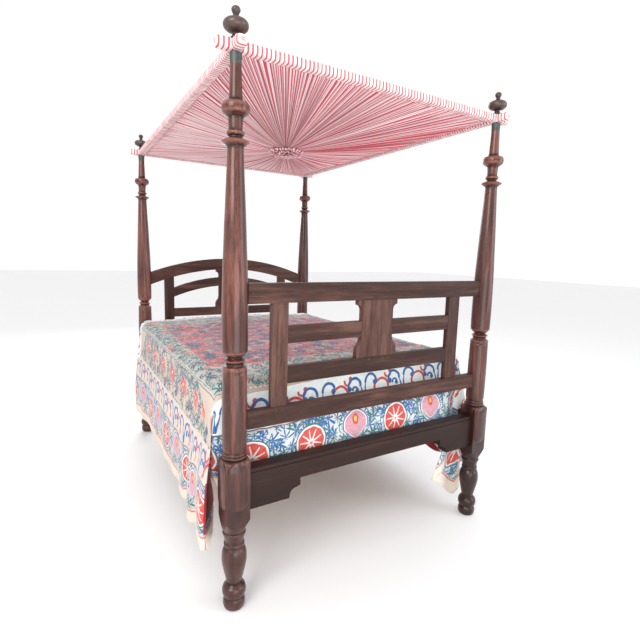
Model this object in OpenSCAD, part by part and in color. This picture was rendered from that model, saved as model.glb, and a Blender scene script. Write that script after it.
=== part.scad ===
// Four poster bed: turned posts, slatted head and foot boards, pleated canopy on a lift-off frame.
// Millimetres. X runs across the bed, Y from the foot (-Y) to the head (+Y), Z up from the floor.
// The origin is on the floor, midway between the four posts.

/* [Bed size] */
// Distance between post centres across the bed
post_spacing_x = 1420; // [1380:10:1460]
// Distance between post centres along the bed
post_spacing_y = 2060; // [2000:10:2120]
// How far the board stiles and splats stand off centre, towards -X
board_shift = 22; // [0:1:30]

/* [Posts] */
// Half the width of the square block that takes the bed rails
block_half = 50; // [49:1:51]
// How far the raised panels stand out from the block
panel_proud = 9; // [6:1:10]
// Height of the underside of the metal ferrule
ferrule_z = 2139; // [2136:1:2142]

/* [Bed rails] */
// Height of the top of the foot, head and side rails
rail_top = 607; // [602:1:610]
// Height of the foot rail at its middle
rail_height = 92; // [80:1:100]
// Thickness of the foot and head rails
rail_thick = 60; // [50:1:64]
// Thickness of the side rails
side_thick = 50; // [40:1:56]
// Drop of the stepped brackets under the ends of the foot rail
bracket_drop = 82; // [60:1:90]
// Number of bed slats
slat_count = 12; // [8:1:14]

/* [Boards] */
// Thickness of the board rails
board_thick = 35; // [30:1:38]
// Thickness of the stiles, splats and slats
inner_thick = 27; // [22:1:28]
// Width of the stiles
stile_w = 73; // [60:1:80]
// Half the distance between the two stiles of a board
stile_x = 500; // [480:5:520]
// Half the width of the splat at its waist
splat_waist = 89; // [80:1:95]
// Half the width of the splat at its ears and its flared foot
splat_ear = 113; // [105:1:120]

/* [Bedding] */
// Length of the mattress
mattress_l = 1895; // [1880:5:1900]
// Width of the mattress
mattress_w = 1470; // [1440:5:1475]
// Thickness of the mattress
mattress_t = 316; // [280:1:320]
// Thickness that the coverlet's solid is given
cover_t = 12; // [8:1:14]
// Height of the coverlet's side hems above the floor
hem_z = 245; // [200:5:300]

/* [Canopy] */
// Width of a canopy rail
canopy_rail_w = 36; // [30:1:40]
// Thickness of a canopy rail
canopy_rail_t = 30; // [26:1:32]
// Overhang of the foot and head canopy rails past the post centres
horn = 66; // [50:1:70]
// How far the middle of the pleated cloth hangs below its edges
canopy_sag = 60; // [40:5:70]

/* [Hidden] */

px = post_spacing_x / 2;
py = post_spacing_y / 2;
gap = 0.3;          // clearance round a tenon in its mortise
eps = 0.5;          // how far a cutter runs past the face it cuts
turned_fn = 96;
left = -1;
right = 1;
foot = -1;
head = 1;

// Colours
rosewood = [0.30, 0.17, 0.14];
worn_rosewood = [0.36, 0.24, 0.20];
dark_finial = [0.16, 0.10, 0.09];
iron = [0.22, 0.24, 0.23];
pine = [0.62, 0.47, 0.32];
ticking = [0.86, 0.50, 0.52];
print_cloth = [0.82, 0.74, 0.62];
sheet_white = [0.88, 0.87, 0.84];

// Heights of the turned members of a post
ball_top = 50;
foot_ring_top = 113;
vase_top = 275;
neck_top = 312;
block_low = 405;    // below this the corners are turned away
block_high = 642;   // above this the shoulders are turned
collar_z = 660;
drum_low = 688;
drum_high = 1013;
waist_z = 1038;
shaft_low = 1070;
shaft_high = 1857;
small_ring_low = 1893;
bulb_low = 1962;
bulb_high = 2014;
tenon_top = 2174;   // wooden tenon inside the ferrule
ferrule_top = 2176.5;

// Finials and their pins
pin_r = 5;
pin_bore_r = 5.06;
pin_low = 2112;
pin_high = 2262;
pin_hole_low = 2108;
finial_base_z = 2221.5;
finial_disc_low = 2247;
finial_disc_high = 2293;
finial_ball_low = 2309;
finial_tip = 2334;

// Footboard heights
foot_top_low = 1277;
foot_top_high = 1358;
upper_slat_low = 1108;
upper_slat_high = 1182;
lower_slat_low = 938;
lower_slat_high = 1012;
board_low_low = 769;
board_low_high = 843;

// Headboard arcs, as radius and height of the top of each curve
arch_r = 1825;
arch_crown = 1417;
arch_depth = 90;
arched_slat_r = 1291;
arched_slat_crown = 1262;
arched_slat_depth = 73;

// Tenons
tenon_stop = 14;    // distance that a tenon's end keeps from the post's axis
tenon_half = 10;    // half the thickness of a bed rail's tenon
board_tenon_half = 7;
tenon_shoulder = 12;
rail_low = rail_top - rail_height;
bed_rail_tenon = [rail_low + tenon_shoulder, rail_top - tenon_shoulder];
foot_top_tenon = [foot_top_low + tenon_shoulder, foot_top_high - tenon_shoulder];
board_low_tenon = [board_low_low + tenon_shoulder, board_low_high - tenon_shoulder];
arch_tenon = [1216, 1270];
short_tenon = 25;   // length of a stile's or slat's tenon
short_tenon_half = 6;
peg_r = 4;
peg_bore_r = 4.05;

// Canopy heights
canopy_low = 2185;
canopy_high = canopy_low + canopy_rail_t;
wrap_gap = 0.5;
wrap_t = 4;
band_low = canopy_low - wrap_gap - wrap_t;
band_high = canopy_high + wrap_gap + wrap_t;
cloth_t = 9;
hub_r = 60;
stem_r = 11.5;
stem_bore_r = 12;
rosette_r = 116;
rosette_drop = 32;
rosette_edge = 8;

// Bedding
mattress_x = -30;
mattress_y = 17;
mattress_round = 60;
deck_gap = 1;

// ---- curves ----

// Catmull-Rom curve through keys, with n points from each key to the next
function spline(keys, n = 5) = [
    for (i = [0 : len(keys) - 2])
        for (k = [0 : n - 1])
            let (
                t = k / n,
                p0 = keys[max(i - 1, 0)],
                p1 = keys[i],
                p2 = keys[i + 1],
                p3 = keys[min(i + 2, len(keys) - 1)]
            )
            0.5 * (2 * p1 + (p2 - p0) * t + (2 * p0 - 5 * p1 + 4 * p2 - p3) * t * t
                + (3 * p1 - p0 - 3 * p2 + p3) * t * t * t),
    keys[len(keys) - 1]
];

// Half-round bead from low to high, its edge at r_edge and its crest at r_crest
function bead(low, high, r_edge, r_crest, n = 8) = [
    for (k = [0 : n])
        let (a = 180 * k / n)
        [r_edge + (r_crest - r_edge) * sin(a), low + (high - low) * (1 - cos(a)) / 2]
];

// ---- post ----

leg_profile = concat(
    [[0, 0], [33, 0]],
    spline([[34, 0.5], [42, 7], [46, 24], [44.5, 41], [40, ball_top]]),
    [[40, ball_top + 5]],
    spline([[40, ball_top + 6], [47, 64], [49.3, 82], [45, 98], [36, 108], [31, foot_ring_top]]),
    spline([[31, foot_ring_top + 1], [36, 137], [42, 163], [47.3, 187], [51.2, 212], [51.5, 235],
        [48.7, 256], [44, 268], [40, vase_top]]),
    [[40, vase_top + 4]],
    bead(vase_top + 5, vase_top + 21, 39, 42.5),
    [[39.5, vase_top + 23], [39.5, neck_top - 8], [0, neck_top - 8]]
);

// Profile that turns the block's corners away below and above
block_profile = concat(
    [[0, neck_top - 10], [39, neck_top - 10]],
    spline([[40, neck_top], [43, 324], [44, 330]], 3),
    bead(331, 346, 44, 48),
    spline([[45, 348], [51, 364], [60, 383], [68, 398], [74, block_low]]),
    spline([[74, block_high], [67, 649], [58, 655], [49, collar_z - 1]]),
    [[46, collar_z], [0, collar_z]]
);

upper_profile = concat(
    [[0, collar_z - 1], [46, collar_z - 1]],
    bead(collar_z, collar_z + 14, 46, 50),
    bead(collar_z + 14.5, drum_low - 2, 44, 48.5),
    [[43, drum_low]],
    spline([[44, drum_low + 1], [47.3, 696], [48.8, 720], [49.5, 800], [49.5, 880], [48.5, 950],
        [47.5, drum_high - 3]]),
    [[45.8, drum_high]],
    bead(drum_high + 0.5, drum_high + 15, 45.8, 47.8),
    spline([[46, 1030], [44.5, 1033], [40, 1036], [34, waist_z]], 3),
    [[33, waist_z + 4]],
    bead(waist_z + 5, waist_z + 10, 33, 36, 6),
    [[33.5, waist_z + 11], [42, waist_z + 18], [42.5, waist_z + 20], [36, waist_z + 26]],
    [[29, waist_z + 29]],
    spline([[28, shaft_low], [38, 1077], [46, 1087], [50, 1100], [51, 1180], [50.4, 1290], [48.2, 1400],
        [44.6, 1490], [40.4, 1610], [35.6, 1720], [31.2, 1821], [30.3, 1848], [31.5, shaft_high]]),
    [[42, 1865], [50.5, 1870.5], [51.5, 1873], [49, 1876], [37, 1882], [26, 1886]],
    [[23.7, 1888]],
    bead(small_ring_low, small_ring_low + 20, 24, 32.7),
    spline([[25, 1915], [26.2, 1935], [27.3, bulb_low - 3]]),
    spline([[32, bulb_low], [37, 1966], [44, 1970]], 3),
    bead(1971, bulb_high - 6, 44, 51.6),
    spline([[40, 2009], [31, 2012], [27, bulb_high + 4], [25, 2026], [22.6, 2080], [20.4, ferrule_z]]),
    [[18, ferrule_z], [18, tenon_top], [0, tenon_top]]
);

// Outline of a raised panel: straight sides, an arched head and a rounded tongue
function panel_outline(inset) = let (
        half = 44 - inset,
        head_low = 612,
        head_high = 655 - inset * 1.4,
        tongue_high = 492,
        tongue_low = 449 + inset
    ) concat(
        [for (k = [0 : 10]) [half * cos(18 * k), tongue_high - (tongue_high - tongue_low) * sin(18 * k)]],
        [for (k = [0 : 10]) [-half * cos(18 * k), head_low + (head_high - head_low) * sin(18 * k)]]
    );

// Raised panel on the face of the block that looks along -Y
module raised_panel() {
    hull() {
        translate([0, -block_half + 2, 0]) rotate([90, 0, 0])
            linear_extrude(4) polygon(panel_outline(0));
        translate([0, -block_half + 2, 0]) rotate([90, 0, 0])
            linear_extrude(panel_proud + 2) polygon(panel_outline(12));
    }
}

// Mortise that runs into a post from the side that faces dir, between the heights z
module mortise(dir, z, half) {
    rotate([0, 0, atan2(dir[1], dir[0])])
        translate([tenon_stop - gap, -half - gap, z[0] - gap])
            cube([block_half, 2 * half + 2 * gap, z[1] - z[0] + 2 * gap]);
}

module post(sx, sy) {
    top_tenon = sy == foot ? foot_top_tenon : arch_tenon;
    color(rosewood)
    translate([sx * px, sy * py, 0])
    difference() {
        union() {
            rotate_extrude($fn = turned_fn) polygon(leg_profile);
            intersection() {
                translate([-block_half, -block_half, 0]) cube([2 * block_half, 2 * block_half, collar_z]);
                rotate_extrude($fn = turned_fn) polygon(block_profile);
            }
            rotate_extrude($fn = turned_fn) polygon(upper_profile);
            rotate([0, 0, sy == foot ? 0 : 180]) raised_panel();
            rotate([0, 0, sx == left ? -90 : 90]) raised_panel();
        }
        mortise([-sx, 0], top_tenon, board_tenon_half);
        mortise([-sx, 0], board_low_tenon, board_tenon_half);
        mortise([-sx, 0], bed_rail_tenon, tenon_half);
        mortise([0, -sy], bed_rail_tenon, tenon_half);
        translate([0, 0, pin_hole_low]) cylinder(r = pin_bore_r, h = tenon_top, $fn = turned_fn);
    }
}

// Iron sleeve and cap on the top of a post
module ferrule(sx, sy) {
    color(iron)
    translate([sx * px, sy * py, 0])
    rotate_extrude($fn = turned_fn) polygon([
        [18.1, ferrule_z + gap], [20.6, ferrule_z + gap], [21.2, ferrule_z + 20], [22, ferrule_top - 4],
        [22, ferrule_top], [pin_bore_r, ferrule_top], [pin_bore_r, tenon_top + gap], [18.1, tenon_top + gap]
    ]);
}

// ---- finials ----

finial_profile = concat(
    [[pin_bore_r, finial_base_z], [17, finial_base_z]],
    bead(finial_base_z, finial_base_z + 8, 17, 20),
    spline([[15, finial_base_z + 9], [12.5, 2238], [15, 2243], [26, finial_disc_low]]),
    spline([[34, 2250], [43, 2258], [46, 2269], [42, 2280], [30, 2288], [17, finial_disc_high]]),
    spline([[11, 2297], [10, 2301], [11, 2306], [12, finial_ball_low]], 3),
    spline([[13, 2310], [16.5, 2319], [13, 2328], [5, 2333], [0, finial_tip]]),
    [[0, pin_high + gap], [pin_bore_r, pin_high + gap]]
);

module finial(sx, sy) {
    color(dark_finial)
    translate([sx * px, sy * py, 0])
    rotate_extrude($fn = turned_fn) polygon(finial_profile);
}

module finial_pin(sx, sy) {
    color(iron)
    translate([sx * px, sy * py, pin_low])
    union() {
        cylinder(r1 = pin_r - 2, r2 = pin_r, h = 6, $fn = turned_fn);
        translate([0, 0, 6]) cylinder(r = pin_r, h = pin_high - pin_low - 6, $fn = turned_fn);
    }
}

// ---- bed rails ----

shoulder = block_half + gap;          // distance of a rail's shoulder from the post's axis

// Stepped bracket under the left end of the foot rail, from the post inwards
bracket_in = px - shoulder - 185;     // where the bracket's foot ends, from the middle
bracket_out = bracket_in - 53;        // where the bracket meets the rail

foot_rail_side = [
    [px - shoulder, rail_low - bracket_drop],
    [bracket_in, rail_low - bracket_drop],
    [bracket_in - 3, rail_low - bracket_drop + 20],
    [bracket_in - 8, rail_low - bracket_drop + 30],
    [bracket_in - 17, rail_low - bracket_drop + 38],
    [bracket_out, rail_low - 33],
    [bracket_out, rail_low]
];

foot_rail_outline = concat(
    [[px - shoulder, rail_top]],
    foot_rail_side,
    [for (k = [len(foot_rail_side) - 1 : -1 : 0]) [-foot_rail_side[k][0], foot_rail_side[k][1]]],
    [[-px + shoulder, rail_top]]
);

bead_low = rail_top - 17;             // quirk under the moulded top edge of the foot rail

// Tenons of a rail that runs across the bed at y, between the heights z
module cross_tenons(y, z, half) {
    length = px - tenon_stop;
    translate([-length, y - half, z[0]]) cube([2 * length, 2 * half, z[1] - z[0]]);
}

module foot_rail() {
    color(worn_rosewood)
    difference() {
        union() {
            translate([0, -py + rail_thick / 2 - 2, 0]) rotate([90, 0, 0])
                linear_extrude(rail_thick) polygon(foot_rail_outline);
            cross_tenons(-py, bed_rail_tenon, tenon_half);
        }
        translate([-px, -py - rail_thick / 2, bead_low]) rotate([0, 90, 0])
            cylinder(r = 3, h = 2 * px, $fn = 32);
    }
}

module head_rail() {
    color(worn_rosewood)
    union() {
        translate([-px + shoulder, py - rail_thick / 2, rail_low])
            cube([2 * (px - shoulder), rail_thick, rail_height]);
        cross_tenons(py, bed_rail_tenon, tenon_half);
    }
}

ledger_w = 25;
ledger_h = 30;
slat_t = 18;
ledger_top = rail_top - slat_t - gap;
ledger_half = py - shoulder - 40;
screw_head_r = 5;
screw_shank_r = 2.5;
screw_gap = 0.1;
screw_y = [for (k = [-3 : 3]) k * 290];

// Axis of the ledger screws, from the ledger's inner face into the side rail
module screw_row(sx, head_r, shank_r, shank_l) {
    inner = px - side_thick / 2 - ledger_w;
    for (y = screw_y)
        translate([sx * inner, y, ledger_top - ledger_h / 2]) rotate([0, sx * 90, 0]) {
            cylinder(r = head_r, h = 4, $fn = 32);
            cylinder(r = shank_r, h = shank_l, $fn = 32);
        }
}

module side_rail(sx) {
    color(worn_rosewood)
    difference() {
        union() {
            translate([sx * px - side_thick / 2, -py + shoulder, rail_low])
                cube([side_thick, 2 * (py - shoulder), rail_height]);
            translate([sx * px - tenon_half, -py + tenon_stop, bed_rail_tenon[0]])
                cube([2 * tenon_half, 2 * (py - tenon_stop), bed_rail_tenon[1] - bed_rail_tenon[0]]);
        }
        screw_row(sx, screw_shank_r + screw_gap, screw_shank_r + screw_gap, ledger_w + 26);
    }
}

module ledger(sx) {
    inner = px - side_thick / 2 - ledger_w;
    color(pine)
    difference() {
        translate([sx == left ? -inner - ledger_w + gap : inner, -ledger_half, ledger_top - ledger_h])
            cube([ledger_w - gap, 2 * ledger_half, ledger_h]);
        screw_row(sx, screw_head_r + screw_gap, screw_shank_r + screw_gap, ledger_w + 26);
    }
}

module ledger_screws() {
    color(iron)
    for (sx = [left, right])
        screw_row(sx, screw_head_r, screw_shank_r, ledger_w + 25);
}

module bed_slats() {
    slat_w = 95;
    slat_half = px - side_thick / 2 - 1;
    run = 2 * ledger_half - slat_w - 20;
    color(pine)
    for (k = [0 : slat_count - 1])
        translate([-slat_half, -run / 2 - slat_w / 2 + run * k / (slat_count - 1), rail_top - slat_t])
            cube([2 * slat_half, slat_w, slat_t]);
}

// ---- boards ----

drum_cope = 50;                       // radius that scribes the lower rails to the posts
shaft_cope = 51.4;                    // radius that scribes the top rails to the posts
stiles = [-stile_x - board_shift, stile_x - board_shift];
inner_edge = [stiles[0] + stile_w / 2, stiles[1] - stile_w / 2];
stile_tenon_w = stile_w - 26;
splat_tenon_w = 2 * splat_waist - 50;
slat_tongue = 12;                     // length of a slat's tenon in a splat
stile_peg = 14;
splat_peg = 40;
peg_rise = 13;                        // how far a peg stands inside the rail's edge
end_peg_x = px - shaft_cope - 17;

// Scribes the ends of a rail to the two posts of the board at y
module cope(y, r) {
    for (sx = [left, right])
        translate([sx * px, y, 0]) cylinder(r = r, h = arch_crown + 200, $fn = turned_fn);
}

// A box centred on x and y, w wide and t thick, between the heights z
module bar(x, y, w, t, z) {
    translate([x - w / 2, y - t / 2, z[0]]) cube([w, t, z[1] - z[0]]);
}

// A short upright tenon, and the mortise that takes it
module tenon(x, y, w, z) {
    bar(x, y, w, 2 * short_tenon_half, z);
}

module tenon_hole(x, y, w, z) {
    bar(x, y, w + 2 * gap, 2 * short_tenon_half + 2 * gap, [z[0] - gap, z[1] + gap]);
}

// Two pegs, or their bores, side by side through the thickness of a board
module pegs(x, y, z, spread, r, t) {
    for (side = [left, right])
        translate([x + side * spread, y + t / 2, z]) rotate([90, 0, 0]) cylinder(r = r, h = t, $fn = 32);
}

// A level rail across the bed with scribed ends and tenons
module level_rail(y, z, z_tenon, r_cope) {
    union() {
        difference() {
            bar(0, y, 2 * px - 60, board_thick, z);
            cope(y, r_cope);
        }
        cross_tenons(y, z_tenon, board_tenon_half);
    }
}

// Outline of half of a splat from its foot up to its ears, as [half width, height]
function splat_side(low, high) = concat(
    [[splat_ear + 3, low], [splat_ear + 3, low + 22]],
    spline([[splat_ear + 2, low + 30], [splat_ear - 3, low + 48], [splat_waist + 6, low + 68],
        [splat_waist, low + 92]], 4),
    [for (k = [0 : 6])
        [splat_ear - (splat_ear - splat_waist) * cos(15 * k), high - 48 + 26 * sin(15 * k)]],
    [[splat_ear, high - 20], [splat_ear, high]]
);

function mirrored(side) = concat(
    side,
    [for (k = [len(side) - 1 : -1 : 0]) [-side[k][0], side[k][1]]]
);

module splat_board(y, low, high) {
    translate([-board_shift, y + inner_thick / 2, 0]) rotate([90, 0, 0])
        linear_extrude(inner_thick) polygon(mirrored(splat_side(low, high)));
}

// ---- footboard ----

module footboard_peg_set(r, extra) {
    t = board_thick + extra;
    for (x = stiles) {
        pegs(x, -py, foot_top_low + peg_rise, stile_peg, r, t);
        pegs(x, -py, board_low_high - peg_rise, stile_peg, r, t);
    }
    pegs(-board_shift, -py, foot_top_low + peg_rise, splat_peg, r, t);
    pegs(-board_shift, -py, lower_slat_high - peg_rise, splat_peg, r, inner_thick + extra);
    pegs(0, -py, (foot_top_low + foot_top_high) / 2, end_peg_x, r, t);
    pegs(0, -py, (board_low_low + board_low_high) / 2, end_peg_x, r, t);
}

top_tenon_z = [foot_top_low - eps, foot_top_low + short_tenon];
low_tenon_z = [board_low_high - short_tenon, board_low_high + eps];

module footboard_top_rail() {
    color(worn_rosewood)
    difference() {
        level_rail(-py, [foot_top_low, foot_top_high], foot_top_tenon, shaft_cope);
        for (x = stiles)
            tenon_hole(x, -py, stile_tenon_w, top_tenon_z);
        tenon_hole(-board_shift, -py, splat_tenon_w, top_tenon_z);
        footboard_peg_set(peg_bore_r, 2);
    }
}

module footboard_lower_rail() {
    color(worn_rosewood)
    difference() {
        level_rail(-py, [board_low_low, board_low_high], board_low_tenon, drum_cope);
        for (x = stiles)
            tenon_hole(x, -py, stile_tenon_w, low_tenon_z);
        footboard_peg_set(peg_bore_r, 2);
    }
}

upper_slat_tenon = [upper_slat_low + 10, upper_slat_high - 10];
lower_slat_tenon = [lower_slat_low + 10, lower_slat_high - 10];

// dir is -1 for the left stile and 1 for the right one
module footboard_stile(dir) {
    x = dir == left ? stiles[0] : stiles[1];
    edge = dir == left ? inner_edge[0] : inner_edge[1];
    color(worn_rosewood)
    difference() {
        union() {
            bar(x, -py, stile_w, inner_thick, [board_low_high + gap, foot_top_low - gap]);
            tenon(x, -py, stile_tenon_w, [board_low_high - short_tenon, foot_top_low + short_tenon]);
        }
        tenon_hole(edge, -py, 2 * short_tenon, upper_slat_tenon);
        tenon_hole(edge, -py, 2 * short_tenon, lower_slat_tenon);
        footboard_peg_set(peg_bore_r, 2);
    }
}

module footboard_splat() {
    color(worn_rosewood)
    difference() {
        union() {
            splat_board(-py, lower_slat_high + gap, foot_top_low - gap);
            tenon(-board_shift, -py, splat_tenon_w,
                [lower_slat_high - short_tenon, foot_top_low + short_tenon]);
        }
        for (side = [left, right])
            tenon_hole(-board_shift + side * splat_waist, -py, 2 * slat_tongue, upper_slat_tenon);
        footboard_peg_set(peg_bore_r, 2);
    }
}

module footboard_slat_upper(dir) {
    outer = dir == left ? inner_edge[0] : inner_edge[1];
    inner = -board_shift + dir * splat_waist;
    mid = (outer + inner) / 2;
    w = abs(outer - inner);
    color(worn_rosewood)
    union() {
        bar(mid, -py, w - 2 * gap, inner_thick, [upper_slat_low, upper_slat_high]);
        tenon(mid + dir * (short_tenon - slat_tongue) / 2, -py,
            w + short_tenon + slat_tongue, upper_slat_tenon);
    }
}

module footboard_slat_lower() {
    w = inner_edge[1] - inner_edge[0];
    color(worn_rosewood)
    difference() {
        union() {
            bar(-board_shift, -py, w - 2 * gap, inner_thick, [lower_slat_low, lower_slat_high]);
            tenon(-board_shift, -py, w + 2 * short_tenon, lower_slat_tenon);
        }
        tenon_hole(-board_shift, -py, splat_tenon_w,
            [lower_slat_high - short_tenon, lower_slat_high + eps]);
        footboard_peg_set(peg_bore_r, 2);
    }
}

module footboard_pegs() {
    color(rosewood)
    footboard_peg_set(peg_r, 0);
}

// ---- headboard ----

// Height of an arc at x, from its radius and the height of its crown
function arc_z(x, r, crown) = crown - r + sqrt(r * r - pow(x + board_shift, 2));

arch_low_r = 1727;
arch_low_crown = arch_crown - arch_depth;
arched_low_r = 1255;
arched_low_crown = arched_slat_crown - arched_slat_depth;

// Disc whose upper edge is the arc, t thick along Y and centred on y
module disc(y, r, crown, t) {
    translate([-board_shift, y + t / 2, crown - r]) rotate([90, 0, 0]) cylinder(r = r, h = t, $fn = 360);
}

function stile_top(x) = arc_z(x, arch_low_r, arch_low_crown);

module headboard_peg_set(r, extra) {
    t = board_thick + extra;
    for (x = stiles) {
        pegs(x, py, stile_top(x) + peg_rise + 4, stile_peg, r, t);
        pegs(x, py, board_low_high - peg_rise, stile_peg, r, t);
    }
    pegs(-board_shift, py, arch_low_crown + peg_rise, splat_peg, r, t);
    pegs(-board_shift, py, straight_high - peg_rise, splat_peg, r, inner_thick + extra);
    pegs(0, py, (board_low_low + board_low_high) / 2, end_peg_x, r, t);
}

straight_low = 937;
straight_high = 1006;
straight_tenon = [straight_low + 10, straight_high - 10];
arched_outer_tenon = [1118, 1168];    // where an arched slat meets its stile
arched_inner_tenon = [1198, 1247];    // where it meets the splat

module headboard_arch_rail() {
    color(worn_rosewood)
    difference() {
        union() {
            difference() {
                intersection() {
                    disc(py, arch_r, arch_crown, board_thick);
                    bar(0, py, 2 * px - 60, board_thick, [arch_tenon[0] - 100, arch_crown + 1]);
                }
                disc(py, arch_low_r, arch_low_crown, board_thick + 2);
                cope(py, shaft_cope);
            }
            for (sx = [left, right])
                bar(sx * (px - tenon_stop - 28), py, 56, 2 * board_tenon_half, arch_tenon);
        }
        for (x = stiles)
            tenon_hole(x, py, stile_tenon_w, [arch_tenon[0] - 20, stile_top(x) + short_tenon]);
        tenon_hole(-board_shift, py, splat_tenon_w, [arch_low_crown - 20, arch_low_crown + short_tenon]);
        headboard_peg_set(peg_bore_r, 2);
    }
}

module headboard_lower_rail() {
    color(worn_rosewood)
    difference() {
        level_rail(py, [board_low_low, board_low_high], board_low_tenon, drum_cope);
        for (x = stiles)
            tenon_hole(x, py, stile_tenon_w, low_tenon_z);
        headboard_peg_set(peg_bore_r, 2);
    }
}

module headboard_stile(dir) {
    x = dir == left ? stiles[0] : stiles[1];
    edge = dir == left ? inner_edge[0] : inner_edge[1];
    color(worn_rosewood)
    difference() {
        union() {
            intersection() {
                bar(x, py, stile_w, inner_thick, [board_low_high + gap, arch_low_crown]);
                disc(py, arch_low_r - gap, arch_low_crown - gap, inner_thick);
            }
            tenon(x, py, stile_tenon_w, [board_low_high - short_tenon, stile_top(x) + short_tenon]);
        }
        tenon_hole(edge, py, 2 * short_tenon, arched_outer_tenon);
        tenon_hole(edge, py, 2 * short_tenon, straight_tenon);
        headboard_peg_set(peg_bore_r, 2);
    }
}

module headboard_splat() {
    color(worn_rosewood)
    difference() {
        union() {
            intersection() {
                splat_board(py, straight_high + gap, arch_low_crown);
                disc(py, arch_low_r - gap, arch_low_crown - gap, inner_thick);
            }
            tenon(-board_shift, py, splat_tenon_w,
                [straight_high - short_tenon, arch_low_crown + short_tenon]);
        }
        for (side = [left, right])
            tenon_hole(-board_shift + side * splat_waist, py, 2 * slat_tongue, arched_inner_tenon);
        headboard_peg_set(peg_bore_r, 2);
    }
}

module headboard_slat_arched(dir) {
    outer = dir == left ? inner_edge[0] : inner_edge[1];
    inner = -board_shift + dir * splat_waist;
    mid = (outer + inner) / 2;
    w = abs(outer - inner) - 2 * gap;
    color(worn_rosewood)
    union() {
        difference() {
            intersection() {
                disc(py, arched_slat_r, arched_slat_crown, inner_thick);
                bar(mid, py, w, inner_thick, [straight_high, arched_slat_crown + 1]);
            }
            disc(py, arched_low_r, arched_low_crown, inner_thick + 2);
        }
        tenon(outer, py, 2 * short_tenon, arched_outer_tenon);
        tenon(inner, py, 2 * slat_tongue, arched_inner_tenon);
    }
}

module headboard_slat_straight() {
    w = inner_edge[1] - inner_edge[0];
    color(worn_rosewood)
    difference() {
        union() {
            bar(-board_shift, py, w - 2 * gap, inner_thick, [straight_low, straight_high]);
            tenon(-board_shift, py, w + 2 * short_tenon, straight_tenon);
        }
        tenon_hole(-board_shift, py, splat_tenon_w, [straight_high - short_tenon, straight_high + eps]);
        headboard_peg_set(peg_bore_r, 2);
    }
}

module headboard_pegs() {
    color(rosewood)
    headboard_peg_set(peg_r, 0);
}

// ---- bedding ----

mattress_low = rail_top + deck_gap;
mattress_high = mattress_low + mattress_t;

// Mattress outline seen from the foot end, with softened edges
module mattress() {
    half = mattress_w / 2;
    low = mattress_low;
    high = mattress_high;
    soft = mattress_round;
    color(sheet_white)
    translate([mattress_x, mattress_y + mattress_l / 2, 0]) rotate([90, 0, 0])
        linear_extrude(mattress_l) polygon(concat(
            [for (k = [0 : 6]) [half - 30 + 30 * cos(15 * k), low + 30 - 30 * sin(15 * k)]],
            [for (k = [0 : 6]) [-half + 30 - 30 * sin(15 * k), low + 30 - 30 * cos(15 * k)]],
            [for (k = [0 : 6]) [-half + soft - soft * cos(15 * k), high - soft + soft * sin(15 * k)]],
            [for (k = [0 : 6]) [half - soft + soft * sin(15 * k), high - soft + soft * cos(15 * k)]]
        ));
}

cover_gap = 1.5;
cover_foot_y = -945;
cover_head_y = 968;
cover_low_y = -974;                   // inner face of the foot drop at its hem, behind the foot rail
cover_low_z = 470;
cover_head_low_z = 600;
cover_end_half = 648;                 // half width of the foot and head drops, clear of the posts
mattress_left = mattress_x - mattress_w / 2;
mattress_right = mattress_x + mattress_w / 2;
skirt_x = 800;                        // outer face of both side skirts at their hems
crown_rise = 14;

// Inner line of the coverlet seen from the foot end, from the left hem to the right hem
cover_line = [
    [-skirt_x + cover_t, hem_z],
    [-skirt_x + cover_t + 6, rail_low],
    [mattress_left - cover_gap, mattress_high - mattress_round],
    [mattress_left - cover_gap + 8, mattress_high - 18],
    [mattress_left + 34, mattress_high + cover_gap],
    [mattress_x, mattress_high + cover_gap + crown_rise],
    [mattress_right - 34, mattress_high + cover_gap],
    [mattress_right - 8 + cover_gap, mattress_high - 18],
    [mattress_right + cover_gap, mattress_high - mattress_round],
    [px + side_thick / 2 + 6, rail_top + 60],
    [px + side_thick / 2 + 20, rail_low],
    [skirt_x - cover_t, hem_z]
];

// Outer line, cover_t outside the inner one
cover_out = [
    [-skirt_x, hem_z],
    [-skirt_x + 6, rail_low],
    [mattress_left - cover_gap - cover_t, mattress_high - mattress_round],
    [mattress_left - cover_gap - 1, mattress_high - 8],
    [mattress_left + 32, mattress_high + cover_gap + cover_t],
    [mattress_x, mattress_high + cover_gap + cover_t + crown_rise],
    [mattress_right - 32, mattress_high + cover_gap + cover_t],
    [mattress_right + cover_gap + 1, mattress_high - 8],
    [mattress_right + cover_gap + cover_t, mattress_high - mattress_round],
    [px + side_thick / 2 + 6 + cover_t, rail_top + 60],
    [px + side_thick / 2 + 20 + cover_t, rail_low],
    [skirt_x, hem_z]
];

// Pointed corners of the spread: from y, to y, side, and the height of the tip
cover_tips = [
    [-950, -860, left, 170], [-950, -860, right, 90],
    [880, 968, left, 165], [880, 968, right, 165]
];

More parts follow.
